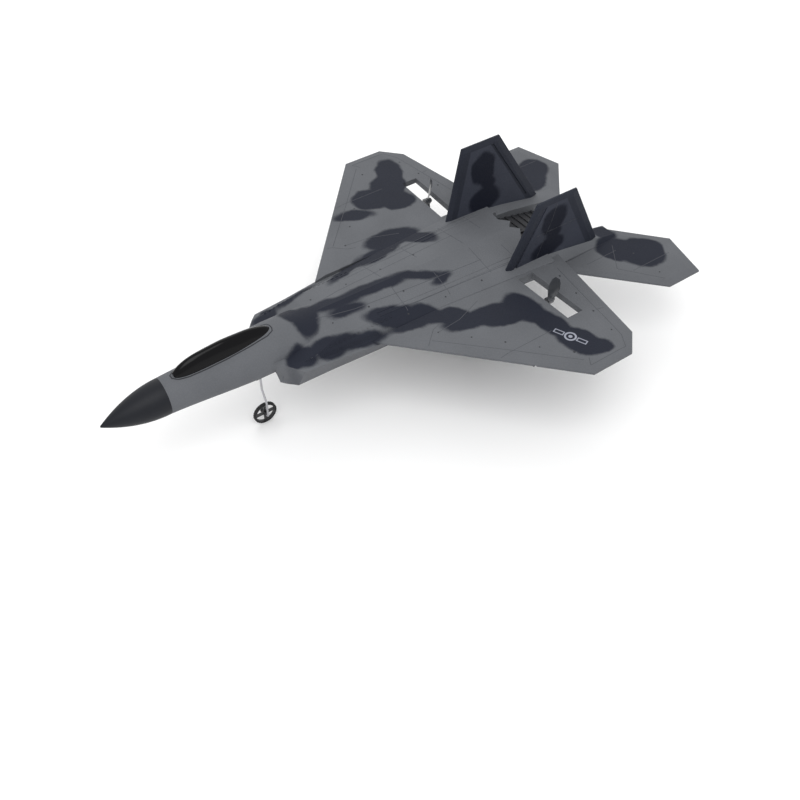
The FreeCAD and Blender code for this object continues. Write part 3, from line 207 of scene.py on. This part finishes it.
def foamPaint(name, base, patch, field, fin=False):
    mat, tree, shader = newMaterial(name)
    where = addNode(tree, "ShaderNodeTexCoord")
    scale = addNode(tree, "ShaderNodeVectorMath", {0: where.outputs["Object"], "Scale": 1000.0},
                    operation="SCALE")
    position = scale.outputs[0]
    if fin:
        split = addNode(tree, "ShaderNodeSeparateXYZ", {0: position})
        height = calc(tree, "SUBTRACT", split.outputs["Z"], wingPlane / mm)
        flat = addNode(tree, "ShaderNodeCombineXYZ", {"X": split.outputs["Y"], "Y": height}).outputs[0]
    else:
        flat = position
    wander = addNode(tree, "ShaderNodeTexNoise", {"Vector": position, "Scale": 0.075, "Detail": 3.0})
    centred = addNode(tree, "ShaderNodeVectorMath", {0: wander.outputs["Color"], 1: (0.5, 0.5, 0.5)},
                      operation="SUBTRACT")
    shifted = addNode(tree, "ShaderNodeVectorMath", {0: centred.outputs[0], "Scale": camo["wobble"] * 2},
                      operation="SCALE")
    moved = addNode(tree, "ShaderNodeVectorMath", {0: flat, 1: shifted.outputs[0]}, operation="ADD")
    group = tree.nodes.new("ShaderNodeGroup")
    group.node_tree = field
    tree.links.new(moved.outputs[0], group.inputs["Position"])
    speckle = addNode(tree, "ShaderNodeTexNoise", {"Vector": position, "Scale": 1.6, "Detail": 4.0})
    dust = calc(tree, "MULTIPLY_ADD", speckle.outputs["Fac"], 1.1, -0.55)
    edge = calc(tree, "ADD", group.outputs["Distance"], dust)
    inside = ramp(tree, edge, camo["softEdge"], -camo["softEdge"], smooth=True)
    if not fin:
        facing = addNode(tree, "ShaderNodeNewGeometry")
        upward = addNode(tree, "ShaderNodeSeparateXYZ", {0: facing.outputs["Normal"]}).outputs["Z"]
        inside = calc(tree, "MULTIPLY", inside, ramp(tree, upward, -0.25, 0.05))
    broad = addNode(tree, "ShaderNodeTexNoise", {"Vector": position, "Scale": 0.03, "Detail": 2.0})
    shade = ramp(tree, broad.outputs["Fac"], 0.3, 0.7, 0.93, 1.06)
    joints, skin = foamSurface(tree, position)
    body = mixColour(tree, inside, base, patch)
    if fin:
        body = mixColour(tree, finBorder(tree, split.outputs["Y"], height), body, camo["finBorder"])
    else:
        marked = calc(tree, "MULTIPLY", wingMark(tree, position), ramp(tree, upward, 0.5, 0.8))
        body = mixColour(tree, marked, body, camo["mark"])
    grain = calc(tree, "MULTIPLY", shade, ramp(tree, skin, 0.25, 0.75, 0.96, 1.05))
    grain = calc(tree, "MULTIPLY", grain, ramp(tree, joints, 0.0, 1.0, 0.93, 1.0))
    tint = addNode(tree, "ShaderNodeCombineColor", {0: grain, 1: grain, 2: grain})
    colour = mixColour(tree, 1.0, body, tint.outputs[0], "MULTIPLY")
    tree.links.new(colour, shader.inputs["Base Color"])
    tree.links.new(ramp(tree, skin, 0.2, 0.8, 0.50, 0.68), shader.inputs["Roughness"])
    low = addNode(tree, "ShaderNodeBump", {"Height": joints, "Strength": 0.35, "Distance": 0.00012})
    fine = addNode(tree, "ShaderNodeBump", {"Height": skin, "Strength": 0.3, "Distance": 0.0001,
                                            "Normal": low.outputs[0]})
    tree.links.new(fine.outputs[0], shader.inputs["Normal"])
    shader.inputs["Specular IOR Level"].default_value = 0.12
    return mat


foamCamo = foamPaint("sprayedFoam", camo["base"], camo["patch"], topField)
foamFin = foamPaint("sprayedFinFoam", camo["finBase"], camo["finPatch"], finField, fin=True)


# ------- moulded plastics, metal and rubber

def grainedPlastic(name, colour, roughness, grainSize=3.0, bump=0.15, coat=0.0, wear=0.06, shine=0.5):
    mat, tree, shader = newMaterial(name)
    where = addNode(tree, "ShaderNodeTexCoord")
    scale = addNode(tree, "ShaderNodeVectorMath", {0: where.outputs["Object"], "Scale": 1000.0},
                    operation="SCALE")
    grain = addNode(tree, "ShaderNodeTexNoise",
                    {"Vector": scale.outputs[0], "Scale": grainSize, "Detail": 4.0})
    broad = addNode(tree, "ShaderNodeTexNoise", {"Vector": scale.outputs[0], "Scale": 0.14, "Detail": 3.0})
    lift = ramp(tree, broad.outputs["Fac"], 0.3, 0.7, 1.0 - wear, 1.0 + wear)
    tint = addNode(tree, "ShaderNodeCombineColor", {0: lift, 1: lift, 2: lift})
    tree.links.new(mixColour(tree, 1.0, colour, tint.outputs[0], "MULTIPLY"), shader.inputs["Base Color"])
    tree.links.new(ramp(tree, grain.outputs["Fac"], 0.25, 0.75, roughness * 0.88, roughness * 1.12),
                   shader.inputs["Roughness"])
    shape = addNode(tree, "ShaderNodeBump",
                    {"Height": grain.outputs["Fac"], "Strength": bump, "Distance": 0.0001})
    tree.links.new(shape.outputs[0], shader.inputs["Normal"])
    shader.inputs["Specular IOR Level"].default_value = shine
    shader.inputs["Coat Weight"].default_value = coat
    shader.inputs["Coat Roughness"].default_value = 0.08
    return mat


def drawnMetal(name, colour, roughness, along="Y", streak=26.0):
    mat, tree, shader = newMaterial(name)
    where = addNode(tree, "ShaderNodeTexCoord")
    stretch = {"X": (0.4, streak, streak), "Y": (streak, 0.4, streak), "Z": (streak, streak, 0.4)}[along]
    lined = addNode(tree, "ShaderNodeMapping", {"Vector": where.outputs["Object"],
                                                "Scale": tuple(100 * s for s in stretch)})
    lines = addNode(tree, "ShaderNodeTexNoise", {"Vector": lined.outputs[0], "Scale": 1.0, "Detail": 5.0})
    lift = ramp(tree, lines.outputs["Fac"], 0.3, 0.7, 0.82, 1.12)
    tint = addNode(tree, "ShaderNodeCombineColor", {0: lift, 1: lift, 2: lift})
    tree.links.new(mixColour(tree, 1.0, colour, tint.outputs[0], "MULTIPLY"), shader.inputs["Base Color"])
    tree.links.new(ramp(tree, lines.outputs["Fac"], 0.3, 0.7, roughness * 0.8, roughness * 1.25),
                   shader.inputs["Roughness"])
    shape = addNode(tree, "ShaderNodeBump",
                    {"Height": lines.outputs["Fac"], "Strength": 0.1, "Distance": 0.00005})
    tree.links.new(shape.outputs[0], shader.inputs["Normal"])
    shader.inputs["Metallic"].default_value = 1.0
    return mat


noseCharcoal = grainedPlastic("noseCharcoal", srgb(21, 23, 29), 0.5, 1.6, 0.1, shine=0.22)
canopyBlack = grainedPlastic("canopyBlack", srgb(3, 3, 5), 0.16, 0.6, 0.01, wear=0.02, shine=0.16)
exhaustBlack = grainedPlastic("exhaustBlack", srgb(24, 25, 30), 0.6, 2.0, 0.2)
blackPlastic = grainedPlastic("blackPlastic", srgb(30, 31, 34), 0.46, 4.0, 0.25)
propellerGrey = grainedPlastic("propellerGrey", srgb(62, 64, 68), 0.3, 2.0, 0.05, coat=0.3)
tyreBlack = grainedPlastic("tyreBlack", srgb(20, 20, 22), 0.82, 5.0, 0.5)
hubBlack = grainedPlastic("hubBlack", srgb(24, 24, 27), 0.4, 3.0, 0.1)
whitePlastic = grainedPlastic("whitePlastic", srgb(222, 220, 210), 0.4, 3.0, 0.1, wear=0.03)
boardGreen = grainedPlastic("boardGreen", srgb(22, 92, 52), 0.34, 1.2, 0.1, coat=0.5)
chipBlack = grainedPlastic("chipBlack", srgb(22, 22, 23), 0.55, 6.0, 0.2)
cellWrap = grainedPlastic("cellWrap", srgb(44, 82, 150), 0.28, 0.8, 0.15, coat=0.4)
leadRed = grainedPlastic("leadRed", srgb(140, 28, 24), 0.5, 3.0, 0.1)
lampRed = grainedPlastic("lampRed", srgb(190, 24, 18), 0.12, 1.0, 0.02, coat=1.0)
carbonRod = drawnMetal("carbonRod", srgb(38, 38, 42), 0.35, "X")
motorCan = drawnMetal("motorCan", srgb(196, 196, 200), 0.26, "Y")
springSteel = drawnMetal("springSteel", srgb(176, 176, 180), 0.3, "Z")
screwSteel = drawnMetal("screwSteel", srgb(96, 96, 102), 0.35, "Z")
seamDark = grainedPlastic("seamDark", srgb(60, 62, 68), 0.7, 3.0, 0.1)
ventDark = grainedPlastic("ventDark", srgb(30, 32, 38), 0.66, 3.0, 0.15)
foamRaised = grainedPlastic("foamRaised", srgb(84, 86, 91), 0.64, 2.0, 0.2)
print("materials ready")

finishes = {
    "fuselage_upper": foamCamo, "fuselage_lower": foamCamo, "wing_left": foamCamo, "wing_right": foamCamo,
    "stabiliser_left": foamCamo, "stabiliser_right": foamCamo, "fin_left": foamFin, "fin_right": foamFin,
    "nose_cone": noseCharcoal, "canopy": canopyBlack, "exhaust_plate": exhaustBlack,
    "wing_spar_left": carbonRod, "wing_spar_right": carbonRod, "motor_left": motorCan, "motor_right": motorCan,
    "motor_end_cap_left": blackPlastic, "motor_end_cap_right": blackPlastic,
    "motor_mount_left": blackPlastic, "motor_mount_right": blackPlastic,
    "motor_shaft_left": springSteel, "motor_shaft_right": springSteel,
    "propeller_left": propellerGrey, "propeller_right": propellerGrey,
    "equipment_tray": blackPlastic, "battery_door": blackPlastic, "door_hinge_pin": springSteel,
    "receiver_board": boardGreen, "receiver_chips": chipBlack, "battery": cellWrap, "battery_plug": whitePlastic,
    "battery_lead": leadRed, "switch_body": blackPlastic, "switch_knob": whitePlastic, "status_led": lampRed,
    "charge_socket": whitePlastic, "tray_screws": screwSteel, "gear_screws": screwSteel,
    "motor_lead_left": leadRed, "motor_lead_right": leadRed, "nose_gear_leg": springSteel,
    "main_gear_leg": springSteel, "nose_gear_mount": blackPlastic, "main_gear_mount": blackPlastic,
    "wheel_collars": blackPlastic, "nose_tyre": tyreBlack, "main_tyre_left": tyreBlack,
    "main_tyre_right": tyreBlack, "nose_hub": hubBlack, "main_hub_left": hubBlack, "main_hub_right": hubBlack,
}
for node, mat in finishes.items():
    paint(node, mat)


# ------- pieces grown by geometry nodes

def geoTree(name, inputs):
    tree = bpy.data.node_groups.new(name, "GeometryNodeTree")
    tree.interface.new_socket("Geometry", in_out="INPUT", socket_type="NodeSocketGeometry")
    for label, kind in inputs:
        tree.interface.new_socket(label, in_out="INPUT", socket_type=kind)
    tree.interface.new_socket("Geometry", in_out="OUTPUT", socket_type="NodeSocketGeometry")
    start = tree.nodes.new("NodeGroupInput").outputs
    return tree, start, tree.nodes.new("NodeGroupOutput")


def endTree(tree, start, end, geometry):
    real = addNode(tree, "GeometryNodeRealizeInstances", {"Geometry": geometry})
    finished = addNode(tree, "GeometryNodeSetMaterial",
                       {"Geometry": real.outputs[0], "Material": start["Material"]})
    tree.links.new(finished.outputs[0], end.inputs[0])


def dropOnto(tree, start, geometry, lift):
    # moves points along Direction until they meet Target; returns the points and the normal there
    target = addNode(tree, "GeometryNodeObjectInfo", {"Object": start["Target"]})
    here = addNode(tree, "GeometryNodeInputPosition").outputs[0]
    back = addNode(tree, "ShaderNodeVectorMath", {0: start["Direction"], "Scale": -0.2}, operation="SCALE")
    origin = addNode(tree, "ShaderNodeVectorMath", {0: here, 1: back.outputs[0]}, operation="ADD")
    ray = addNode(tree, "GeometryNodeRaycast", {"Target Geometry": target.outputs["Geometry"],
                                                "Source Position": origin.outputs[0],
                                                "Ray Direction": start["Direction"], "Ray Length": 0.5})
    raised = addNode(tree, "ShaderNodeVectorMath", {0: ray.outputs["Hit Normal"], "Scale": lift},
                     operation="SCALE")
    spot = addNode(tree, "ShaderNodeVectorMath", {0: ray.outputs["Hit Position"], 1: raised.outputs[0]},
                   operation="ADD")
    # points whose ray meets nothing are dropped, as a miss would send them to the origin
    missed = addNode(tree, "FunctionNodeBooleanMath", {0: ray.outputs["Is Hit"]}, operation="NOT")
    met = addNode(tree, "GeometryNodeDeleteGeometry", {"Geometry": geometry, "Selection": missed.outputs[0]},
                  domain="POINT")
    # the normal is stored before the points move, while the rays still start from their old places
    stored = addNode(tree, "GeometryNodeStoreNamedAttribute",
                     {"Geometry": met.outputs[0], "Name": "facing", "Value": ray.outputs["Hit Normal"]},
                     data_type="FLOAT_VECTOR", domain="POINT")
    moved = addNode(tree, "GeometryNodeSetPosition",
                    {"Geometry": stored.outputs[0], "Position": spot.outputs[0]})
    facing = addNode(tree, "GeometryNodeInputNamedAttribute", {"Name": "facing"}, data_type="FLOAT_VECTOR")
    return moved.outputs[0], facing.outputs["Attribute"]


def lineTree():
    # round bead along a path on the surface, sunk until only Rise shows
    tree, start, end = geoTree("surfaceLine", [("Target", "NodeSocketObject"), ("Direction", "NodeSocketVector"),
                               ("Step", "NodeSocketFloat"), ("Radius", "NodeSocketFloat"),
                               ("Rise", "NodeSocketFloat"), ("Material", "NodeSocketMaterial")])
    path = addNode(tree, "GeometryNodeMeshToCurve", {"Mesh": start["Geometry"]})
    even = addNode(tree, "GeometryNodeResampleCurve", {"Curve": path.outputs[0], "Length": start["Step"]},
                   mode="LENGTH")
    sink = calc(tree, "SUBTRACT", start["Rise"], start["Radius"])
    laid, facing = dropOnto(tree, start, even.outputs[0], sink)
    bead = addNode(tree, "GeometryNodeCurvePrimitiveCircle", {"Resolution": 10, "Radius": start["Radius"]})
    solid = addNode(tree, "GeometryNodeCurveToMesh", {"Curve": laid, "Profile Curve": bead.outputs[0],
                                                      "Fill Caps": True})
    smooth = addNode(tree, "GeometryNodeSetShadeSmooth", {"Geometry": solid.outputs[0]})
    endTree(tree, start, end, smooth.outputs[0])
    return tree


def rowTree():
    # small blocks spaced along a path, standing on the surface and turned with the path
    tree, start, end = geoTree("surfaceRow", [("Target", "NodeSocketObject"), ("Direction", "NodeSocketVector"),
                               ("Step", "NodeSocketFloat"), ("Size", "NodeSocketVector"),
                               ("Rise", "NodeSocketFloat"), ("Material", "NodeSocketMaterial")])
    path = addNode(tree, "GeometryNodeMeshToCurve", {"Mesh": start["Geometry"]})
    even = addNode(tree, "GeometryNodeResampleCurve", {"Curve": path.outputs[0], "Length": start["Step"]},
                   mode="LENGTH")
    along = addNode(tree, "GeometryNodeInputTangent").outputs[0]
    kept = addNode(tree, "GeometryNodeStoreNamedAttribute",
                   {"Geometry": even.outputs[0], "Name": "along", "Value": along},
                   data_type="FLOAT_VECTOR", domain="POINT")
    laid, facing = dropOnto(tree, start, kept.outputs[0], start["Rise"])
    course = addNode(tree, "GeometryNodeInputNamedAttribute", {"Name": "along"}, data_type="FLOAT_VECTOR")
    upright = addNode(tree, "FunctionNodeAlignRotationToVector", {"Vector": facing}, axis="Z")
    turned = addNode(tree, "FunctionNodeAlignRotationToVector",
                     {"Rotation": upright.outputs[0], "Vector": course.outputs["Attribute"]},
                     axis="X", pivot_axis="Z")
    block = addNode(tree, "GeometryNodeMeshCube", {"Size": start["Size"]})
    placed = addNode(tree, "GeometryNodeInstanceOnPoints", {"Points": laid, "Instance": block.outputs["Mesh"],
                                                            "Rotation": turned.outputs[0]})
    endTree(tree, start, end, placed.outputs[0])
    return tree


def dotTree():
    # low round plugs on loose points, sizes varied by a fixed seed
    tree, start, end = geoTree("surfaceDots", [("Target", "NodeSocketObject"), ("Direction", "NodeSocketVector"),
                               ("Radius", "NodeSocketFloat"), ("Height", "NodeSocketFloat"),
                               ("Vary", "NodeSocketFloat"), ("Seed", "NodeSocketInt"),
                               ("Material", "NodeSocketMaterial")])
    laid, facing = dropOnto(tree, start, start["Geometry"], 0.0)
    upright = addNode(tree, "FunctionNodeAlignRotationToVector", {"Vector": facing}, axis="Z")
    plug = addNode(tree, "GeometryNodeMeshCylinder", {"Vertices": 18, "Radius": start["Radius"],
                                                      "Depth": start["Height"]})
    low = calc(tree, "SUBTRACT", 1.0, start["Vary"])
    high = calc(tree, "ADD", 1.0, start["Vary"])
    chance = tree.nodes.new("FunctionNodeRandomValue")
    tree.links.new(low, chance.inputs[2])
    tree.links.new(high, chance.inputs[3])
    tree.links.new(start["Seed"], chance.inputs["Seed"])
    placed = addNode(tree, "GeometryNodeInstanceOnPoints", {"Points": laid, "Instance": plug.outputs["Mesh"],
                                                            "Rotation": upright.outputs[0],
                                                            "Scale": chance.outputs[1]})
    endTree(tree, start, end, placed.outputs[0])
    return tree


def treadTree():
    # ring of blocks round a wheel whose axle lies along X
    tree, start, end = geoTree("wheelTread", [("Centre", "NodeSocketVector"), ("Count", "NodeSocketInt"),
                               ("Radius", "NodeSocketFloat"), ("Size", "NodeSocketVector"),
                               ("Material", "NodeSocketMaterial")])
    ring = addNode(tree, "GeometryNodeMeshCircle", {"Vertices": start["Count"], "Radius": start["Radius"]})
    stood = addNode(tree, "GeometryNodeTransform", {"Geometry": ring.outputs[0],
                                                    "Rotation": (0, math.radians(90), 0)})
    outward = addNode(tree, "GeometryNodeInputPosition").outputs[0]
    upright = addNode(tree, "FunctionNodeAlignRotationToVector", {"Vector": outward},
                      axis="Z", pivot_axis="X")
    block = addNode(tree, "GeometryNodeMeshCube", {"Size": start["Size"]})
    placed = addNode(tree, "GeometryNodeInstanceOnPoints", {"Points": stood.outputs[0],
                                                            "Instance": block.outputs["Mesh"],
                                                            "Rotation": upright.outputs[0]})
    moved = addNode(tree, "GeometryNodeTransform",
                    {"Geometry": placed.outputs[0], "Translation": start["Centre"]})
    endTree(tree, start, end, moved.outputs[0])
    return tree


def pathMesh(name, paths):
    # one mesh of open paths, each a list of (x, y) or (x, y, z over the wing plane) in millimetres
    points, edges = [], []
    for path in paths:
        first = len(points)
        for spot in path:
            x, y, z = (*spot, 0) if len(spot) == 2 else spot
            points.append((x * mm, y * mm, wingPlane + z * mm))
        edges += [(i, i + 1) for i in range(first, len(points) - 1)]
    mesh = bpy.data.meshes.new(name)
    mesh.from_pydata(points, edges, [])
    return mesh


def spotMesh(name, spots):
    mesh = bpy.data.meshes.new(name)
    mesh.from_pydata([(x * mm, y * mm, wingPlane) for x, y in spots], [], [])
    return mesh


def mirrorBoth(paths):
    # the same paths on the left and on the right
    return paths + [[(-spot[0], *spot[1:]) for spot in path] for path in paths]


def grow(name, mesh, tree, values, body):
    # runs the tree once and keeps the result as a plain closed mesh
    source = bpy.data.objects.new(name + "Source", mesh)
    bpy.context.scene.collection.objects.link(source)
    modifier = source.modifiers.new("grow", "NODES")
    modifier.node_group = tree
    for item in tree.interface.items_tree:
        if item.item_type == "SOCKET" and item.in_out == "INPUT" and item.name in values:
            modifier[item.identifier] = values[item.name]
    bpy.context.view_layer.update()
    shaped = source.evaluated_get(bpy.context.evaluated_depsgraph_get())
    result = bpy.data.meshes.new_from_object(shaped)
    bpy.data.objects.remove(source)
    for extra in ("facing", "along"):
        if extra in result.attributes:
            result.attributes.remove(result.attributes[extra])
    bm = bmesh.new()
    bm.from_mesh(result)
    bmesh.ops.recalc_face_normals(bm, faces=bm.faces)
    bm.to_mesh(result)
    bm.free()
    piece = bpy.data.objects.new(name, result)
    bpy.context.scene.collection.objects.link(piece)
    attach(piece, body)
    print(f"  {name}: {len(result.polygons)} faces")
    return piece


def skinTarget(name, members):
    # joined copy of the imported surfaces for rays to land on, removed at the end
    joined = bmesh.new()
    for member in members:
        joined.from_mesh(nodes[member].data)
    mesh = bpy.data.meshes.new(name)
    joined.to_mesh(mesh)
    joined.free()
    target = bpy.data.objects.new(name, mesh)
    bpy.context.scene.collection.objects.link(target)
    return target


lineShape, rowShape, dotShape, treadShape = lineTree(), rowTree(), dotTree(), treadTree()
airframeSkin = skinTarget("airframeSkin", ["fuselage_upper", "fuselage_lower", "wing_left", "wing_right",
                                           "stabiliser_left", "stabiliser_right"])
upperSkin = skinTarget("upperSkin", ["fuselage_upper"])
finSkin = skinTarget("finSkin", ["fin_left", "fin_right"])
down, up = (0, 0, -1), (0, 0, 1)

panelLines = {"radius": 0.28, "rise": 0.09, "step": 1.4}


def layLines(name, paths, target, direction, material=seamDark, look=panelLines):
    return grow(name, pathMesh(name, paths), lineShape,
                {"Target": target, "Direction": direction, "Step": look["step"] * mm,
                 "Radius": look["radius"] * mm, "Rise": look["rise"] * mm, "Material": material},
                "airframe")


wingSeams = mirrorBoth([
    [(131, 62), (137, 58)], [(137, 58), (137, 88)], [(137, 88), (127, 94), (106, 98), (99, 99)],
    [(50, 5), (52, -1), (62, -12)], [(50, 108), (99, 99)], [(99, 99), (100, 104)],
    [(56, 0), (54, 19), (46, 40)], [(98, 18), (98, 60)], [(60, -8), (98, 28), (131, 58)],
])
spineSeams = mirrorBoth([[(6, -62), (11, -35), (14, 10), (17, 66)], [(6, -3), (29, -5)], [(10, 30), (32, 28)],
                         [(3, 66), (31, 64)], [(12, 88), (32, 88)]])
shoulderSeams = mirrorBoth([[(26, -2), (29, 55), (31, 92)]])
tailSeams = mirrorBoth([[(44, 168), (66, 152), (93, 172)], [(50, 138), (50, 166)], [(74, 160), (74, 196)]])
layLines("wingPanelLines", wingSeams, airframeSkin, down)
layLines("spinePanelLines", spineSeams, upperSkin, down)
layLines("shoulderLines", shoulderSeams, upperSkin, down)
layLines("tailPanelLines", tailSeams, airframeSkin, down)
print("panel lines laid")

canopySeal = {"radius": 0.5, "rise": 0.24, "step": 1.2}
sealPath = [(1.5, -161.6), (4.2, -158.5), (5.6, -152), (6.2, -140), (6.5, -126), (6.4, -110),
            (5.6, -97), (3.8, -92.6), (1.5, -91.6)]
sealEnds = [[(1.5, y), (-1.5, y)] for y in (-161.6, -91.6)]
layLines("canopySealBead", mirrorBoth([sealPath]) + sealEnds, upperSkin, down,
         material=ventDark, look=canopySeal)

ledgeLook = {"radius": 0.3, "rise": 0.14, "step": 1.2}
ledgePaths = mirrorBoth([[(30.4, -84), (32.6, -62), (35.4, -36)], [(31.6, -84), (34.0, -62), (36.6, -36)]])
layLines("ledgeLines", ledgePaths, upperSkin, down, material=foamCamo, look=ledgeLook)

# ribbed slope between the shoulder and the ledge, and the dark studs along the shoulder
slopeRibs = {"step": 1.3, "length": 0.5, "width": 3.0, "height": 0.4, "rise": 0.02}
shoulderStuds = {"step": 3.4, "length": 1.5, "width": 0.9, "height": 0.7, "rise": 0.05}


def layBlocks(name, paths, target, direction, look, material):
    size = tuple(look[k] * mm for k in ("length", "width", "height"))
    return grow(name, pathMesh(name, paths), rowShape,
                {"Target": target, "Direction": direction, "Step": look["step"] * mm, "Size": size,
                 "Rise": look["rise"] * mm, "Material": material}, "airframe")


slopePaths = mirrorBoth([[(28.6, -80), (31.2, -56), (33.4, -22)]])
studPaths = mirrorBoth([[(27.2, -82), (27.8, -56), (27.6, -18)]])
layBlocks("slopeRibs", slopePaths, upperSkin, down, slopeRibs, foamCamo)
layBlocks("shoulderStuds", studPaths, upperSkin, down, shoulderStuds, foamCamo)

ventSlots = {"step": 3.0, "length": 1.0, "width": 7.0, "height": 0.5, "rise": 0.05}
deckStrips = {"radius": 0.45, "rise": 0.28, "step": 1.6}
stripPaths = mirrorBoth([[(21, -24), (24, 40), (26, 98)], [(24.5, -24), (27.4, 40), (29.4, 98)]])
layLines("deckStrips", stripPaths, upperSkin, down, material=foamCamo, look=deckStrips)
layBlocks("bellyVents", mirrorBoth([[(14, 66), (14, 84)]]), airframeSkin, up, ventSlots, ventDark)

# pressed dots where the mould held the foam
mouldDots = {"radius": 0.62, "height": 0.22, "vary": 0.18, "seed": 7}


def layDots(name, spots, target, direction, look, material=ventDark):
    return grow(name, spotMesh(name, spots), dotShape,
                {"Target": target, "Direction": direction, "Radius": look["radius"] * mm,
                 "Height": look["height"] * mm, "Vary": look["vary"], "Seed": look["seed"],
                 "Material": material},
                "airframe")


def spotRow(start, end, count):
    # dots spaced evenly along a straight row, the same on both sides
    shares = [i / (count - 1) for i in range(count)]
    return [(side * (start[0] + (end[0] - start[0]) * share), start[1] + (end[1] - start[1]) * share)
            for side in (-1, 1) for share in shares]


# rows behind the wing's leading edge, ahead of its trailing edge, on spine, shoulder and stabiliser
topSpots = (spotRow((56, 0), (122, 58), 5) + spotRow((58, 103), (120, 92), 4)
            + spotRow((14, -54), (14, 30), 4) + spotRow((31, -6), (34, 84), 4)
            + spotRow((60, 174), (86, 174), 2))
bellySpots = [(x * side, y) for side in (-1, 1) for x, y in ((60, 10), (90, 40), (120, 60), (120, 88), (84, 99),
              (58, 64), (15, -70), (15, 40), (18, 96), (60, 176), (84, 182))]
layDots("topMouldDots", topSpots, airframeSkin, down, mouldDots)
layDots("bellyMouldDots", bellySpots, airframeSkin, up, mouldDots)


def ringPath(x, y, radius, count=20):
    turns = [2 * math.pi * i / count for i in range(count + 1)]
    return [(x + radius * math.cos(a), y + radius * math.sin(a)) for a in turns]


ejectorRings = {"radius": 0.28, "rise": 0.12, "step": 1.0}
ringSpots = [(100, 70), (112, 46), (86, 20), (20, -88), (10, 70), (70, 180)]
bellyRings = [ringPath(side * x, y, 2.6) for side in (-1, 1) for x, y in ringSpots]
bellySeams = mirrorBoth([[(22, -84), (23, -30), (23, 60), (21, 104)], [(4, -98), (20, -96)],
                         [(50, 108), (99, 99)], [(56, 0), (58, 30)], [(98, 24), (98, 72)],
                         [(44, 168), (66, 152), (93, 172)]])
layLines("bellyRings", bellyRings, airframeSkin, up, look=ejectorRings, material=foamRaised)
layLines("bellySeams", bellySeams, airframeSkin, up)

finSeams = [[(0, 100, 6), (0, 107, 40), (0, 109, 54)], [(0, 96, 30), (0, 134, 30)]]
for side, sign in (("left", 1), ("right", -1)):
    for face, way in (("Outer", -sign), ("Inner", sign)):
        placed = [[(sign * (60 if way == -sign else 20), y, z) for x, y, z in path] for path in finSeams]
        layLines(f"{side}Fin{face}Lines", placed, finSkin, (way, 0, 0))
print("surface details laid")

# tread round the tyres
tread = {"count": 26, "length": 0.55, "width": 2.0, "height": 0.5, "proud": 0.06}
wheels = {"noseTread": ("nose_wheel", "nose_tyre"), "leftTread": ("main_wheel_left", "main_tyre_left"),
          "rightTread": ("main_wheel_right", "main_tyre_right")}
for name, (wheel, tyre) in wheels.items():
    low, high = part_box(tyre)
    centre = [(a + b) / 2 for a, b in zip(low, high)]
    outer = (high[2] - low[2]) / 2
    grow(name, bpy.data.meshes.new(name), treadShape,
         {"Centre": centre, "Count": tread["count"],
          "Radius": outer - (tread["height"] / 2 - tread["proud"]) * mm,
          "Size": (tread["width"] * mm, tread["length"] * mm, tread["height"] * mm), "Material": tyreBlack},
         wheel)
print("wheels treaded")

for helper in (airframeSkin, upperSkin, finSkin):
    bpy.data.objects.remove(helper)


# ------- camera, floor and light

view = {"lens": 45.63, "distance": 0.6994, "azimuth": 55.52, "elevation": 40.39, "roll": -0.53,
        "shiftX": 0.0016, "shiftY": -0.140, "aimY": 0.0077}


def setCamera():
    az, el = math.radians(view["azimuth"]), math.radians(view["elevation"])
    back = Vector((math.sin(az) * math.cos(el), -math.cos(az) * math.cos(el), math.sin(el)))
    target = Vector((0, view["aimY"], wingPlane))
    data = bpy.data.cameras.new("studioCamera")
    data.lens = view["lens"]
    data.sensor_width = 36
    data.shift_x, data.shift_y = view["shiftX"], view["shiftY"]
    camera = bpy.data.objects.new("studioCamera", data)
    bpy.context.scene.collection.objects.link(camera)
    turn = (-back).to_track_quat("-Z", "Y").to_matrix().to_4x4()
    camera.matrix_world = Matrix.Translation(target + back * view["distance"]) @ turn \
        @ Matrix.Rotation(math.radians(view["roll"]), 4, "Z")
    bpy.context.scene.camera = camera


def areaLight(name, place, aim, size, power):
    data = bpy.data.lights.new(name, "AREA")
    data.size, data.energy = size, power
    light = bpy.data.objects.new(name, data)
    bpy.context.scene.collection.objects.link(light)
    light.location = place
    light.rotation_euler = (Vector(aim) - Vector(place)).to_track_quat("-Z", "Y").to_euler()


setCamera()
bpy.ops.mesh.primitive_plane_add(size=12, location=(0, 0, 0))
floor = bpy.context.object
floor.name = "studioFloor"
floorMat, floorTree, floorShader = newMaterial("paleFloor")
floorShader.inputs["Base Color"].default_value = (0.93, 0.93, 0.93, 1)
floorShader.inputs["Roughness"].default_value = 0.9
floor.data.materials.append(floorMat)

world = bpy.context.scene.world or bpy.data.worlds.new("studioWorld")
bpy.context.scene.world = world
world.use_nodes = True
world.node_tree.nodes["Background"].inputs[0].default_value = (1, 1, 1, 1)
world.node_tree.nodes["Background"].inputs[1].default_value = 0.9
areaLight("keyLight", (0.5, -0.35, 1.1), (0, 0, 0.05), 0.9, 7)
areaLight("fillLight", (-0.9, 0.5, 0.8), (0, 0, 0.05), 1.2, 4)
bpy.context.scene.view_settings.view_transform = "Standard"
print("studio ready")
